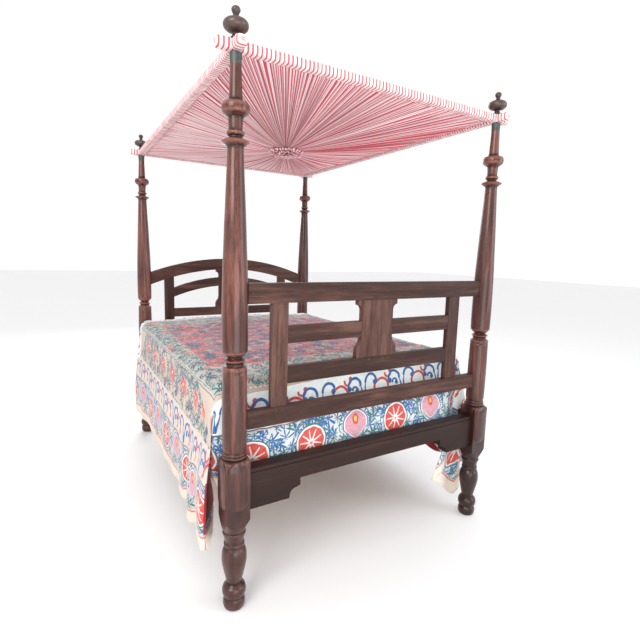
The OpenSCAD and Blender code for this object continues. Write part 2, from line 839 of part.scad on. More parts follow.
module coverlet() {
    foot_top = mattress_high + cover_gap;
    color(print_cloth)
    union() {
        translate([0, cover_head_y, 0]) rotate([90, 0, 0])
            linear_extrude(cover_head_y - cover_foot_y)
                polygon(concat(cover_line, [for (k = [len(cover_out) - 1 : -1 : 0]) cover_out[k]]));
        translate([-cover_end_half, 0, 0]) rotate([90, 0, 90])
            linear_extrude(2 * cover_end_half) polygon([
                [cover_foot_y + 10, foot_top],
                [cover_foot_y, foot_top - 10],
                [cover_low_y, rail_top],
                [cover_low_y, cover_low_z],
                [cover_low_y - cover_t, cover_low_z],
                [cover_low_y - cover_t, rail_top],
                [cover_foot_y - cover_t, foot_top - 6],
                [cover_foot_y, foot_top + cover_t],
                [cover_foot_y + 10, foot_top + cover_t]
            ]);
        translate([-cover_end_half, cover_head_y - eps, cover_head_low_z])
            cube([2 * cover_end_half, cover_t, foot_top + 6 - cover_head_low_z]);
        for (tip = cover_tips) {
            inner = tip[2] == left ? -skirt_x : skirt_x - cover_t;
            translate([inner, tip[0], tip[3]]) cube([cover_t, tip[1] - tip[0], hem_z + 5 - tip[3]]);
        }
    }
}

// ---- canopy ----

half_rail = canopy_rail_w / 2;
rail_end_x = px + horn;
rail_end_y = py + horn - 6;
lap_z = canopy_low + canopy_rail_t / 2;
wrap_in = wrap_gap;
wrap_out = wrap_gap + wrap_t;

// Box round a rail's section, grown by g, running along X at y or along Y at x
module rail_box_x(y, end, g) {
    translate([-end, y - half_rail - g, canopy_low - g])
        cube([2 * end, canopy_rail_w + 2 * g, canopy_rail_t + 2 * g]);
}

module rail_box_y(x, end, g) {
    translate([x - half_rail - g, -end, canopy_low - g])
        cube([canopy_rail_w + 2 * g, 2 * end, canopy_rail_t + 2 * g]);
}

module pin_holes(r) {
    for (sx = [left, right], sy = [foot, head])
        translate([sx * px, sy * py, band_low - 1])
            cylinder(r = r, h = band_high - band_low + 2, $fn = turned_fn);
}

// Foot and head rails are halved on their upper sides where the side rails cross
module canopy_rail_cross(sy) {
    color(pine)
    difference() {
        rail_box_x(sy * py, rail_end_x, 0);
        for (sx = [left, right])
            translate([sx * px - half_rail - gap, sy * py - half_rail - 1, lap_z])
                cube([canopy_rail_w + 2 * gap, canopy_rail_w + 2, canopy_rail_t]);
        pin_holes(pin_bore_r);
    }
}

module canopy_rail_side(sx) {
    color(pine)
    difference() {
        rail_box_y(sx * px, rail_end_y, 0);
        for (sy = [foot, head])
            translate([sx * px - half_rail - 1, sy * py - half_rail - gap, lap_z + gap - canopy_rail_t])
                cube([canopy_rail_w + 2, canopy_rail_w + 2 * gap, canopy_rail_t]);
        pin_holes(pin_bore_r);
    }
}

band_hole_r = 8;

// Striped cloth wound round a rail that runs across the bed
module canopy_band_cross(sy) {
    color(ticking)
    difference() {
        rail_box_x(sy * py, rail_end_x + wrap_out, wrap_out);
        rail_box_x(sy * py, rail_end_x + wrap_in, wrap_in);
        for (sx = [left, right])
            rail_box_y(sx * px, rail_end_y + wrap_out, wrap_in);
        pin_holes(band_hole_r);
    }
}

// Striped cloth wound round a side rail, broken where the foot and head bands cross it
module canopy_band_side(sx) {
    color(ticking)
    difference() {
        rail_box_y(sx * px, rail_end_y + wrap_out, wrap_out);
        rail_box_y(sx * px, rail_end_y + wrap_in, wrap_in);
        for (sy = [foot, head])
            rail_box_x(sy * py, rail_end_x + 2 * wrap_out, wrap_out + gap);
    }
}

cloth_x = px - half_rail - wrap_out - gap;
cloth_y = py - half_rail - wrap_out - gap;
cloth_high = canopy_low + cloth_t;
cloth_mid = cloth_high - canopy_sag;
centre_half = 70;                     // half the side of the level patch in the middle

// The four corners of a level rectangle at height z
function corners(x, y, z) = [[-x, -y, z], [x, -y, z], [x, y, z], [-x, y, z]];

// Pleated ceiling: a shallow dish that hangs from the bands to a level patch in the middle
module canopy_cloth() {
    color(ticking)
    difference() {
        polyhedron(
            points = concat(
                corners(cloth_x, cloth_y, cloth_high),
                corners(centre_half, centre_half, cloth_mid),
                corners(cloth_x, cloth_y, cloth_high - cloth_t),
                corners(centre_half, centre_half, cloth_mid - cloth_t)
            ),
            faces = [
                [4, 7, 6, 5],
                [0, 4, 5, 1], [1, 5, 6, 2], [2, 6, 7, 3], [3, 7, 4, 0],
                [12, 13, 14, 15],
                [8, 9, 13, 12], [9, 10, 14, 13], [10, 11, 15, 14], [11, 8, 12, 15],
                [0, 1, 9, 8], [1, 2, 10, 9], [2, 3, 11, 10], [3, 0, 8, 11]
            ]
        );
        translate([0, 0, cloth_mid - 2 * cloth_t])
            cylinder(r = stem_bore_r, h = 4 * cloth_t, $fn = turned_fn);
    }
}

// Turned button that gathers the pleats; its stem passes through the cloth
module canopy_hub() {
    color(pine)
    translate([0, 0, cloth_mid])
    union() {
        translate([0, 0, gap]) cylinder(r = hub_r, h = 8, $fn = turned_fn);
        translate([0, 0, -cloth_t - 8]) cylinder(r = stem_r, h = cloth_t + 9, $fn = turned_fn);
    }
}

module canopy_rosette() {
    color(ticking)
    translate([0, 0, cloth_mid - cloth_t])
    rotate_extrude($fn = turned_fn) polygon([
        [stem_bore_r, -gap], [rosette_r - 10, -gap], [rosette_r, -10], [rosette_r - 6, -20],
        [rosette_r - 26, rosette_edge - rosette_drop], [stem_bore_r + 14, -rosette_drop],
        [stem_bore_r, 5 - rosette_drop]
    ]);
}

// ---- nodes ----

post(left, foot);  // post_foot_left
post(right, foot);  // post_foot_right
post(left, head);  // post_head_left
post(right, head);  // post_head_right
ferrule(left, foot);  // ferrule_foot_left
ferrule(right, foot);  // ferrule_foot_right
ferrule(left, head);  // ferrule_head_left
ferrule(right, head);  // ferrule_head_right
finial(left, foot);  // finial_foot_left
finial(right, foot);  // finial_foot_right
finial(left, head);  // finial_head_left
finial(right, head);  // finial_head_right
finial_pin(left, foot);  // finial_pin_foot_left
finial_pin(right, foot);  // finial_pin_foot_right
finial_pin(left, head);  // finial_pin_head_left
finial_pin(right, head);  // finial_pin_head_right
foot_rail();
head_rail();
side_rail(left);  // side_rail_left
side_rail(right);  // side_rail_right
ledger(left);  // ledger_left
ledger(right);  // ledger_right
ledger_screws();
bed_slats();
footboard_top_rail();
footboard_lower_rail();
footboard_stile(left);  // footboard_stile_left
footboard_stile(right);  // footboard_stile_right
footboard_splat();
footboard_slat_upper(left);  // footboard_slat_upper_left
footboard_slat_upper(right);  // footboard_slat_upper_right
footboard_slat_lower();
footboard_pegs();
headboard_arch_rail();
headboard_lower_rail();
headboard_stile(left);  // headboard_stile_left
headboard_stile(right);  // headboard_stile_right
headboard_splat();
headboard_slat_arched(left);  // headboard_slat_arched_left
headboard_slat_arched(right);  // headboard_slat_arched_right
headboard_slat_straight();
headboard_pegs();
mattress();
coverlet();
canopy_rail_cross(foot);  // canopy_rail_foot
canopy_rail_cross(head);  // canopy_rail_head
canopy_rail_side(left);  // canopy_rail_left
canopy_rail_side(right);  // canopy_rail_right
canopy_band_cross(foot);  // canopy_band_foot
canopy_band_cross(head);  // canopy_band_head
canopy_band_side(left);  // canopy_band_left
canopy_band_side(right);  // canopy_band_right
canopy_cloth();
canopy_hub();
canopy_rosette();
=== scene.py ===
"""Looks for the four poster bed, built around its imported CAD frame. Metres, +Z up, +Y towards the head."""
import math

import bmesh
import bpy
import numpy as np
from mathutils import Matrix, Vector, noise as noise_field


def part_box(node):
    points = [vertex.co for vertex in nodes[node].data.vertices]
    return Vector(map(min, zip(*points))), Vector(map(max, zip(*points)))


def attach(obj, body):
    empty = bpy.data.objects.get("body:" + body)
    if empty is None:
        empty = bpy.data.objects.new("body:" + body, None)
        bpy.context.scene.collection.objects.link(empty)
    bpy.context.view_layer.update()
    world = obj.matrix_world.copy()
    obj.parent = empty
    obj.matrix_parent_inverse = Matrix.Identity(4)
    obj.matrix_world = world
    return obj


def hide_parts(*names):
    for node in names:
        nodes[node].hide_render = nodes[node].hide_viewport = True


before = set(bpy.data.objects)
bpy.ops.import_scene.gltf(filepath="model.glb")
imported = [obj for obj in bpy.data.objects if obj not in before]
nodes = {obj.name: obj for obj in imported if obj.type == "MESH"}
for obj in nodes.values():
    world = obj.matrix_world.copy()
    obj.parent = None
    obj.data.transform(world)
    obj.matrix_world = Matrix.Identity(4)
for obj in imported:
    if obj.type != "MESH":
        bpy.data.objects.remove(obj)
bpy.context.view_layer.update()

ROOT = "bedstead"
CORNERS = ("foot_left", "foot_right", "head_left", "head_right")
TAU = 2 * math.pi
BLOCK_RADIUS = 0.066        # further from its axis than this, a post is a square block
WELD = 0.00002              # points nearer than this are joined
THREAD = 0.0021             # from one thread of the coverlet to the next


# ---------------------------------------------------------------- camera, floor and lights

def make_camera():
    """Stands at the foot of the bed, to its left, at a person's eye height."""
    pan, tilt, roll = (math.radians(a) for a in (30.841, -7.578, 1.653))
    forward = Vector((math.sin(pan) * math.cos(tilt), math.cos(pan) * math.cos(tilt), math.sin(tilt)))
    level = Vector((math.cos(pan), -math.sin(pan), 0))
    upright = level.cross(forward)
    side = math.cos(roll) * level + math.sin(roll) * upright
    up = math.cos(roll) * upright - math.sin(roll) * level
    turn = Matrix((side, up, -forward)).transposed().to_4x4()
    data = bpy.data.cameras.new("camera")
    data.sensor_width = 36
    data.lens = 24.505
    data.shift_x = 0.00245
    data.shift_y = -0.01167
    camera = bpy.data.objects.new("camera", data)
    camera.matrix_world = Matrix.Translation((-1.285, -2.6187, 1.4748)) @ turn
    bpy.context.scene.collection.objects.link(camera)
    bpy.context.scene.camera = camera


def area_light(name, place, target, size, power, colour=(1, 1, 1)):
    data = bpy.data.lights.new(name, "AREA")
    data.shape = "SQUARE"
    data.size = size
    data.energy = power
    data.color = colour
    light = bpy.data.objects.new(name, data)
    aim = Vector(target) - Vector(place)
    light.matrix_world = Matrix.Translation(place) @ aim.to_track_quat("-Z", "Y").to_matrix().to_4x4()
    bpy.context.scene.collection.objects.link(light)


def make_studio():
    world = bpy.data.worlds.new("studio")
    world.use_nodes = True
    background = world.node_tree.nodes["Background"]
    background.inputs["Color"].default_value = (1.0, 1.0, 1.0, 1)
    background.inputs["Strength"].default_value = 1.03
    bpy.context.scene.world = world
    bpy.context.scene.view_settings.view_transform = "Standard"
    mesh = bpy.data.meshes.new("floor")
    reach = 30
    mesh.from_pydata([(-reach, -reach, 0), (reach, -reach, 0), (reach, reach, 0), (-reach, reach, 0)],
                     [], [(0, 1, 2, 3)])
    floor = bpy.data.objects.new("floor", mesh)
    bpy.context.scene.collection.objects.link(floor)
    pale = bpy.data.materials.new("floor_pale")
    pale.use_nodes = True
    shader = pale.node_tree.nodes["Principled BSDF"]
    shader.inputs["Base Color"].default_value = (0.86, 0.86, 0.87, 1)
    shader.inputs["Roughness"].default_value = 0.7
    mesh.materials.append(pale)
    area_light("key", (-4.2, -3.4, 3.6), (0, 0, 1.0), 2.6, 175, (1.0, 0.98, 0.95))
    area_light("fill", (3.6, -4.4, 2.2), (0, 0, 1.1), 3.0, 90, (0.93, 0.96, 1.0))
    area_light("back", (0.8, 4.6, 3.4), (0, 0, 1.2), 3.0, 110, (0.96, 0.98, 1.0))
    area_light("low_fill", (-0.8, -3.6, 0.7), (0, 0, 2.2), 2.0, 40)


# ---------------------------------------------------------------- shader arithmetic

class Value:
    """A number that a material works out at each point. Arithmetic on it adds Math nodes."""

    def __init__(self, tree, socket):
        self.tree = tree
        self.socket = socket

    def op(self, name, *others, clamp=False):
        node = self.tree.nodes.new("ShaderNodeMath")
        node.operation = name
        node.use_clamp = clamp
        for slot, value in zip(node.inputs, (self,) + others):
            feed(self.tree, slot, value)
        return Value(self.tree, node.outputs[0])

    def __add__(self, other):
        return self.op("ADD", other)

    def __radd__(self, other):
        return self.op("ADD", other)

    def __sub__(self, other):
        return self.op("SUBTRACT", other)

    def __rsub__(self, other):
        return self.op("MULTIPLY", -1).op("ADD", other)

    def __mul__(self, other):
        return self.op("MULTIPLY", other)

    def __rmul__(self, other):
        return self.op("MULTIPLY", other)

    def __truediv__(self, other):
        return self.op("DIVIDE", other)

    def __neg__(self):
        return self.op("MULTIPLY", -1)

    def __abs__(self):
        return self.op("ABSOLUTE")

    def __pow__(self, other):
        return self.op("POWER", other)

    def sin(self):
        return self.op("SINE")

    def cos(self):
        return self.op("COSINE")

    def wrap(self, period):
        """What is left of the value after whole periods, from 0 to period."""
        return self.op("FLOORED_MODULO", period)

    def min(self, other):
        return self.op("MINIMUM", other)

    def max(self, other):
        return self.op("MAXIMUM", other)

    def rise(self, low, high):
        """0 below low, 1 above high, and smooth between them."""
        node = self.tree.nodes.new("ShaderNodeMapRange")
        node.interpolation_type = "SMOOTHSTEP"
        feed(self.tree, node.inputs["Value"], self)
        feed(self.tree, node.inputs["From Min"], low)
        feed(self.tree, node.inputs["From Max"], high)
        return Value(self.tree, node.outputs["Result"])


def feed(tree, slot, value):
    """Puts a number or a colour on a socket, or links a worked-out value to it."""
    if isinstance(value, Value):
        tree.links.new(value.socket, slot)
    elif isinstance(value, bpy.types.NodeSocket):
        tree.links.new(value, slot)
    elif isinstance(value, (tuple, list)) and len(slot.default_value) == 4 and len(value) == 3:
        slot.default_value = (*value, 1)
    else:
        slot.default_value = value


def hypot(x, y):
    return (x * x + y * y).op("SQRT")


def vector(tree, x, y, z=0):
    node = tree.nodes.new("ShaderNodeCombineXYZ")
    for slot, value in zip(node.inputs, (x, y, z)):
        feed(tree, slot, value)
    return node.outputs[0]


def split(tree, socket):
    node = tree.nodes.new("ShaderNodeSeparateXYZ")
    tree.links.new(socket, node.inputs[0])
    return [Value(tree, out) for out in node.outputs]


def mix(tree, share, low, high):
    """Blends two colours, from low where share is 0 to high where it is 1."""
    node = tree.nodes.new("ShaderNodeMix")
    node.data_type = "RGBA"
    colours = [s for s in node.inputs if s.type == "RGBA"]
    feed(tree, node.inputs[0], share)
    feed(tree, colours[0], low)
    feed(tree, colours[1], high)
    return [s for s in node.outputs if s.type == "RGBA"][0]


def noise(tree, where, scale, detail=2.0, rough=0.5, warp=0.0):
    node = tree.nodes.new("ShaderNodeTexNoise")
    node.inputs["Scale"].default_value = scale
    node.inputs["Detail"].default_value = detail
    node.inputs["Roughness"].default_value = rough
    node.inputs["Distortion"].default_value = warp
    tree.links.new(where, node.inputs["Vector"])
    return Value(tree, node.outputs["Factor" if "Factor" in node.outputs else "Fac"])


def new_material(name, **constants):
    """A material with one Principled shader, whose constant inputs are set directly."""
    material = bpy.data.materials.new(name)
    material.use_nodes = True
    shader = material.node_tree.nodes["Principled BSDF"]
    for key, value in constants.items():
        feed(material.node_tree, shader.inputs[key.replace("_", " ")], value)
    return material, material.node_tree, shader


def add_bump(tree, shader, height, strength, distance):
    node = tree.nodes.new("ShaderNodeBump")
    node.inputs["Strength"].default_value = strength
    node.inputs["Distance"].default_value = distance
    feed(tree, node.inputs["Height"], height)
    tree.links.new(node.outputs["Normal"], shader.inputs["Normal"])


def place(tree, scale=(1, 1, 1)):
    """Position in the bed's own frame, stretched by scale."""
    coordinates = tree.nodes.new("ShaderNodeTexCoord")
    mapping = tree.nodes.new("ShaderNodeMapping")
    mapping.inputs["Scale"].default_value = scale
    tree.links.new(coordinates.outputs["Object"], mapping.inputs["Vector"])
    return mapping.outputs["Vector"]


def attribute(tree, name):
    node = tree.nodes.new("ShaderNodeAttribute")
    node.attribute_name = name
    return Value(tree, node.outputs["Fac"])


def flat_place(tree):
    """Where a point of cloth was before it was hung, in metres."""
    node = tree.nodes.new("ShaderNodeUVMap")
    node.uv_map = "flat"
    return node.outputs["UV"]


# ---------------------------------------------------------------- wood and metal

def wood(name, grain, dark, mid, light, rough, coat, specular=0.5):
    """Rosewood whose grain runs along the axis named grain, lighter or darker piece by piece, with painted shade
    towards the floor, on shaded pieces and in the grooves of turnings.
    """
    material, tree, shader = new_material(name, Coat_Weight=coat, Coat_Roughness=0.16,
                                          Specular_IOR_Level=specular)
    along = {"X": (1, 14, 14), "Z": (14, 14, 1)}[grain]
    where = place(tree, along)
    tone_and_shade = attribute(tree, "tone_and_shade")
    bands = noise(tree, where, 2.2, 3, 0.5, 0.8)
    fibres = noise(tree, where, 22, 4, 0.6, 0.2)
    pores = noise(tree, place(tree, tuple(60 if a > 1 else 2.2 for a in along)), 9, 2, 0.6)
    patches = noise(tree, place(tree), 3.2, 2, 0.5)
    # each piece's lightness here also carries painted shade: it is much lower on the foot rail and the lower slat
    figure = bands * 0.5 + fibres * 0.3 + patches * 0.2 + tone_and_shade * 0.10 - 0.05
    colour = mix(tree, figure.rise(0.33, 0.60), dark, mid)
    colour = mix(tree, (figure + patches * 0.2).rise(0.54, 0.80) * 0.7, colour, light)
    pitting = pores.rise(0.58, 0.74)
    colour = mix(tree, pitting * 0.45, colour, tuple(c * 0.4 for c in dark))
    wear = attribute(tree, "wear")
    rubbed = (wear * (patches * 0.7 + fibres * 0.7)).rise(0.25, 0.8)
    colour = mix(tree, rubbed * 0.5, colour, tuple(c * 1.25 for c in light))
    # painted shade: the grooves of turnings are darkened as if shadowed, and made rougher
    groove_dirt_and_shade = attribute(tree, "groove_dirt_and_shade")
    shaded_grooves = (groove_dirt_and_shade * (0.7 + patches * 0.5)).rise(0.1, 0.9)
    colour = mix(tree, shaded_grooves * 0.8, colour, tuple(c * 0.3 for c in dark))
    # painted shade: darker towards the floor, and more so on the pieces that stand in shadow
    low_shade = 1 - split(tree, place(tree))[2].rise(0.28, 0.95)
    colour = mix(tree, low_shade * attribute(tree, "low_shade_share"), colour, tuple(c * 0.5 for c in dark))
    tree.links.new(colour, shader.inputs["Base Color"])
    roughness = rough + fibres * 0.14 - 0.07 + patches * 0.12 + groove_dirt_and_shade * 0.2
    feed(tree, shader.inputs["Roughness"], roughness)
    add_bump(tree, shader, fibres * 0.4 + bands * 0.3 - pitting * 0.8, 0.22, 0.001)
    return material


def iron(name, colour, rough):
    """Old dark iron with a dull skin."""
    material, tree, shader = new_material(name, Metallic=0.55)
    stain = noise(tree, place(tree), 60, 4, 0.6)
    fine = noise(tree, place(tree), 700, 2, 0.5)
    shade = mix(tree, stain.rise(0.35, 0.7), colour, tuple(c * 0.5 + 0.02 for c in colour))
    tree.links.new(shade, shader.inputs["Base Color"])
    feed(tree, shader.inputs["Roughness"], rough + stain * 0.25 - 0.1)
    add_bump(tree, shader, stain * 0.5 + fine * 0.2, 0.4, 0.0008)
    return material


def softwood(name):
    """Plain planed pine for what the bedding and the cloth hide."""
    material, tree, shader = new_material(name)
    rings = noise(tree, place(tree, (1.2, 16, 30)), 3, 3, 0.5, 1.5)
    fibres = noise(tree, place(tree, (3, 60, 90)), 6, 3, 0.6)
    colour = mix(tree, rings.rise(0.35, 0.65), (0.52, 0.36, 0.21), (0.36, 0.21, 0.11))
    colour = mix(tree, fibres.rise(0.5, 0.8) * 0.4, colour, (0.30, 0.18, 0.10))
    tree.links.new(colour, shader.inputs["Base Color"])
    feed(tree, shader.inputs["Roughness"], fibres * 0.2 + 0.5)
    add_bump(tree, shader, fibres, 0.3, 0.0006)
    return material


def set_attribute(mesh, name, values):
    """Stores one number per vertex, which a material reads by name."""
    layer = mesh.attributes.new(name, "FLOAT", "POINT")
    layer.data.foreach_set("value", np.asarray(values, np.float32))


def tone_of(name):
    """A fixed number from 0 to 1 that makes each piece of wood a little lighter or darker."""
    return (sum((k + 1) * ord(c) for k, c in enumerate(name)) * 0.61803) % 1


def mark_wood(mesh, name, wear=None, groove_dirt_and_shade=None):
    """Gives a piece of wood its lightness, how much painted shade darkens it towards the floor, and where it is
    rubbed or has painted shade in its grooves.
    """
    count = len(mesh.vertices)
    # painted shade: the foot rail and lower slat are made much darker, and they and the right posts darker
    # towards the floor, as if in shadow
    darker = name in ("foot_rail", "footboard_slat_lower")
    in_shadow = darker or name in ("post_foot_right", "post_head_right")
    set_attribute(mesh, "tone_and_shade", [tone_of(name) - (1.4 if darker else 0)] * count)
    set_attribute(mesh, "low_shade_share", [0.95 if in_shadow else 0.62] * count)
    set_attribute(mesh, "wear", [0.0] * count if wear is None else wear)
    set_attribute(mesh, "groove_dirt_and_shade", [0.0] * count if groove_dirt_and_shade is None else groove_dirt_and_shade)


def welded_copy(name, whole_faces=True):
    """A copy of a CAD node's mesh with its split corners joined and, if asked, its flat faces made whole."""
    mesh = nodes[name].data.copy()
    mesh.materials.clear()
    shape = bmesh.new()
    shape.from_mesh(mesh)
    bmesh.ops.remove_doubles(shape, verts=shape.verts, dist=WELD)
    if whole_faces:
        bmesh.ops.dissolve_limit(shape, angle_limit=math.radians(0.6), verts=shape.verts, edges=shape.edges)
    shape.to_mesh(mesh)
    shape.free()
    return mesh


def apply_modifiers(piece):
    """Makes a piece's mesh what its modifiers show."""
    graph = bpy.context.evaluated_depsgraph_get()
    graph.update()
    mesh = bpy.data.meshes.new_from_object(piece.evaluated_get(graph), preserve_all_data_layers=True,
                                           depsgraph=graph)
    piece.modifiers.clear()
    piece.data = mesh


def finish_piece(piece, body, slot, *replaced):
    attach(piece, body)
    if replaced:
        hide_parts(*replaced)
    return piece


def new_piece(name, mesh):
    piece = bpy.data.objects.new(name, mesh)
    bpy.context.scene.collection.objects.link(piece)
    return piece


def shade_by_angle(mesh, degrees):
    """Smooth shading, but with every edge sharper than this many degrees kept crisp."""
    shape = bmesh.new()
    shape.from_mesh(mesh)
    limit = math.radians(degrees)
    for face in shape.faces:
        face.smooth = True
    for edge in shape.edges:
        edge.smooth = len(edge.link_faces) == 2 and edge.calc_face_angle(0) < limit
    shape.to_mesh(mesh)
    shape.free()


def softened(name, body, slot, material, width=0.0016):
    """A CAD board with its sharp edges rubbed round, in its own wood."""
    mesh = welded_copy(name)
    piece = new_piece(name + "_worn", mesh)
    bevel = piece.modifiers.new("round", "BEVEL")
    bevel.width = width
    bevel.segments = 3
    bevel.limit_method = "ANGLE"
    bevel.angle_limit = math.radians(40)
    bevel.use_clamp_overlap = True
    apply_modifiers(piece)
    mesh = piece.data
    shade_by_angle(mesh, 35)
    mesh.materials.clear()
    mesh.materials.append(material)
    mark_wood(mesh, name)
    return finish_piece(piece, body, slot, name)


def turned(name, body, slot, material, centre=None):
    """A CAD turning, smoothed. Its crests are marked as rubbed and its grooves as darkened by painted shade."""
    mesh = welded_copy(name, whole_faces=False)
    piece = new_piece(name + "_turned", mesh)
    low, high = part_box(name)
    middle = centre or (low + high) / 2
    co = np.empty(len(mesh.vertices) * 3)
    mesh.vertices.foreach_get("co", co)
    co = co.reshape(-1, 3)
    radius = np.hypot(co[:, 0] - middle.x, co[:, 1] - middle.y)
    height = co[:, 2]
    # the outer radius at each height, and its average over a few centimetres round it
    step = 0.002
    bins = np.arange(low.z, high.z + step, step)
    index = np.clip(((height - low.z) / step).astype(int), 0, len(bins) - 1)
    outer = np.zeros(len(bins))
    np.maximum.at(outer, index, np.minimum(radius, 0.075))
    known = np.flatnonzero(outer > 0)
    outer = np.interp(np.arange(len(bins)), known, outer[known])
    reach = 9
    padded = np.pad(outer, reach, "edge")
    average = np.convolve(padded, np.ones(2 * reach + 1) / (2 * reach + 1), "valid")
    stand = (outer - average)[index]
    stand[outer[index] > BLOCK_RADIUS] = 0
    mesh.materials.append(material)
    mark_wood(mesh, name, np.clip(stand / 0.004, 0, 1), np.clip(-stand / 0.005, 0, 1))
    shade_by_angle(mesh, 38)
    return finish_piece(piece, body, slot, name)


def make_woodwork():
    post_wood = wood("rosewood_polished", "Z", (0.036, 0.010, 0.007), (0.108, 0.032, 0.022),
                     (0.240, 0.088, 0.062), 0.28, 0.38, 0.25)
    rail_wood = wood("rosewood_rail", "X", (0.026, 0.010, 0.007), (0.068, 0.028, 0.020),
                     (0.135, 0.064, 0.047), 0.46, 0.0, 0.22)
    stile_wood = wood("rosewood_stile", "Z", (0.030, 0.012, 0.009), (0.076, 0.032, 0.024),
                      (0.150, 0.073, 0.054), 0.44, 0.0, 0.22)
    black_wood = wood("rosewood_finial", "Z", (0.016, 0.010, 0.009), (0.036, 0.019, 0.015),
                      (0.070, 0.038, 0.030), 0.34, 0.25)
    peg_wood = wood("rosewood_peg", "X", (0.020, 0.010, 0.008), (0.045, 0.022, 0.017),
                    (0.090, 0.050, 0.038), 0.6, 0.0)
    ferrule_iron = iron("ferrule_iron", (0.075, 0.095, 0.088), 0.5)
    pin_iron = iron("pin_iron", (0.10, 0.10, 0.097), 0.55)
    screw_steel = iron("screw_steel", (0.35, 0.34, 0.32), 0.4)
    pine = softwood("pine")
    for corner in CORNERS:
        low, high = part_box("ferrule_" + corner)
        axis = (low + high) / 2
        turned("post_" + corner, ROOT, "turned_post", post_wood, axis)
        turned("ferrule_" + corner, ROOT, "iron_ferrule", ferrule_iron)
        turned("finial_" + corner, "finial_" + corner, "finial_wood", black_wood)
        turned("finial_pin_" + corner, "finial_" + corner, "iron_pin", pin_iron)
    for name in nodes:
        if name.endswith("_pegs"):
            softened(name, ROOT, "peg_wood", peg_wood, 0.0006)
        elif name.startswith(("footboard_stile", "headboard_stile", "footboard_splat", "headboard_splat")):
            softened(name, ROOT, "board_wood", stile_wood, 0.0022)
        elif name.startswith(("footboard_", "headboard_")):
            softened(name, ROOT, "board_wood", rail_wood, 0.0024)
        elif name in ("foot_rail", "head_rail", "side_rail_left", "side_rail_right"):
            softened(name, ROOT, "bed_rail", rail_wood, 0.0026)
        elif name.startswith("ledger_l") or name.startswith("ledger_r") or name == "bed_slats":
            softened(name, ROOT, "pale_wood", pine, 0.0015)
        elif name == "ledger_screws":
            softened(name, ROOT, "screw_steel", screw_steel, 0.0004)
        elif name.startswith("canopy_rail"):
            softened(name, "canopy", "pale_wood", pine, 0.0015)
        elif name == "canopy_hub":
            softened(name, "canopy", "pale_wood", pine, 0.0012)


# ---------------------------------------------------------------- coverlet shape

DROP_FOOT = 0.44            # how far the coverlet drops at the foot end, at the right post
DROP_FOOT_LEFT = 0.33       # and under the left post's corner, where it is bunched up
DROP_HEAD = 0.34
DROP_SIDE = 0.69
COVER_STEP = 0.018          # size of one square of the coverlet's mesh
COVER_BEND = 0.055          # how softly it bends over the mattress's edge
LAYER_GAP = 0.007           # from one folded layer to the next
FIRST_FOLD = 0.35           # how the corner's spare cloth is shared between its two folds


def smooth(low, high, x):
    t = np.clip((x - low) / (high - low), 0, 1)
    return t * t * (3 - 2 * t)


def ripple(s, seed):
    """A soft random wave along s, from about -1 to 1, the same on each run."""
    rng = np.random.default_rng(seed)
    total = np.zeros_like(s)
    for wave in (0.21, 0.34, 0.55, 0.13):
        total += np.sin(TAU * s / (wave * rng.uniform(0.9, 1.1)) + rng.uniform(0, TAU)) * rng.uniform(0.5, 1)
    return total / 2.4


def side_wave(y, side):
    """0 to 1 to 0 over each hanging fold of a side drape."""
    return 0.5 + 0.5 * np.cos(TAU * (y + 0.93 + 0.03 * ripple(y, 7 + side)) / 0.225)


def side_folds(y, drop, side):
    """How far a side drape stands out at y, where it hangs drop below the bed's top."""
    low = smooth(0.06, 0.62, drop)
    near_foot = 1 - smooth(-0.80, -0.15, y)
    near_head = smooth(0.55, 0.95, y)
    deep = 0.022 * near_foot + 0.010 * near_head + 0.004
    return low * (deep * side_wave(y, side) ** 1.4 + 0.006 * (0.5 + 0.5 * ripple(y * 0.6, 3 + side)))


def corner_fold(reach, angle, crossed):
    """How the spare cloth under a corner of the mattress folds back and forth.

    Where crossed is 1, the second fold lies flat across the end of the bed; otherwise it lies along the side.
    Returns the distance past the level part's corner along the bed, the distance past it across the bed,
    how many layers of cloth lie outside this one, and how many lie behind it across the end.
    """
    edge = COVER_BEND
    walked = reach * angle
    whole = reach * math.pi / 2
    spare = np.maximum(whole - 2 * edge, 0)
    share_first = FIRST_FOLD + (0.5 - FIRST_FOLD) * crossed
    first, second = spare * share_first / 2, spare * (1 - share_first) / 2
    stops = [np.zeros_like(reach), np.full_like(reach, edge), edge + first, edge + 2 * first,
             edge + 2 * first + second, edge + spare, 2 * edge + spare]
    places = [np.zeros_like(reach), np.full_like(reach, edge), edge - first, np.full_like(reach, edge),
              edge - second, np.full_like(reach, edge), np.full_like(reach, edge)]
    along = np.zeros_like(reach)
    layer = np.zeros_like(reach)
    behind = np.zeros_like(reach)
    for k in range(len(stops) - 1):
        share = np.clip((walked - stops[k]) / np.maximum(stops[k + 1] - stops[k], 1e-6), 0, 1)
        inside_leg = (walked >= stops[k]) & (walked <= stops[k + 1] + 1e-9)
        along = np.where(inside_leg, places[k] + (places[k + 1] - places[k]) * share, along)
        layer = np.where(inside_leg, min(k, 4) + (share - 0.5 if 0 < k < 5 else 0), layer)
        if k in (3, 4):
            behind = np.where(inside_leg, 5 - k - share, behind)
    across = edge - np.clip(walked - stops[5], 0, edge)
    inward = np.where(behind > 0, edge - along, 0) * crossed
    return along + inward, across - inward, np.clip(layer, 0, 4), behind * crossed


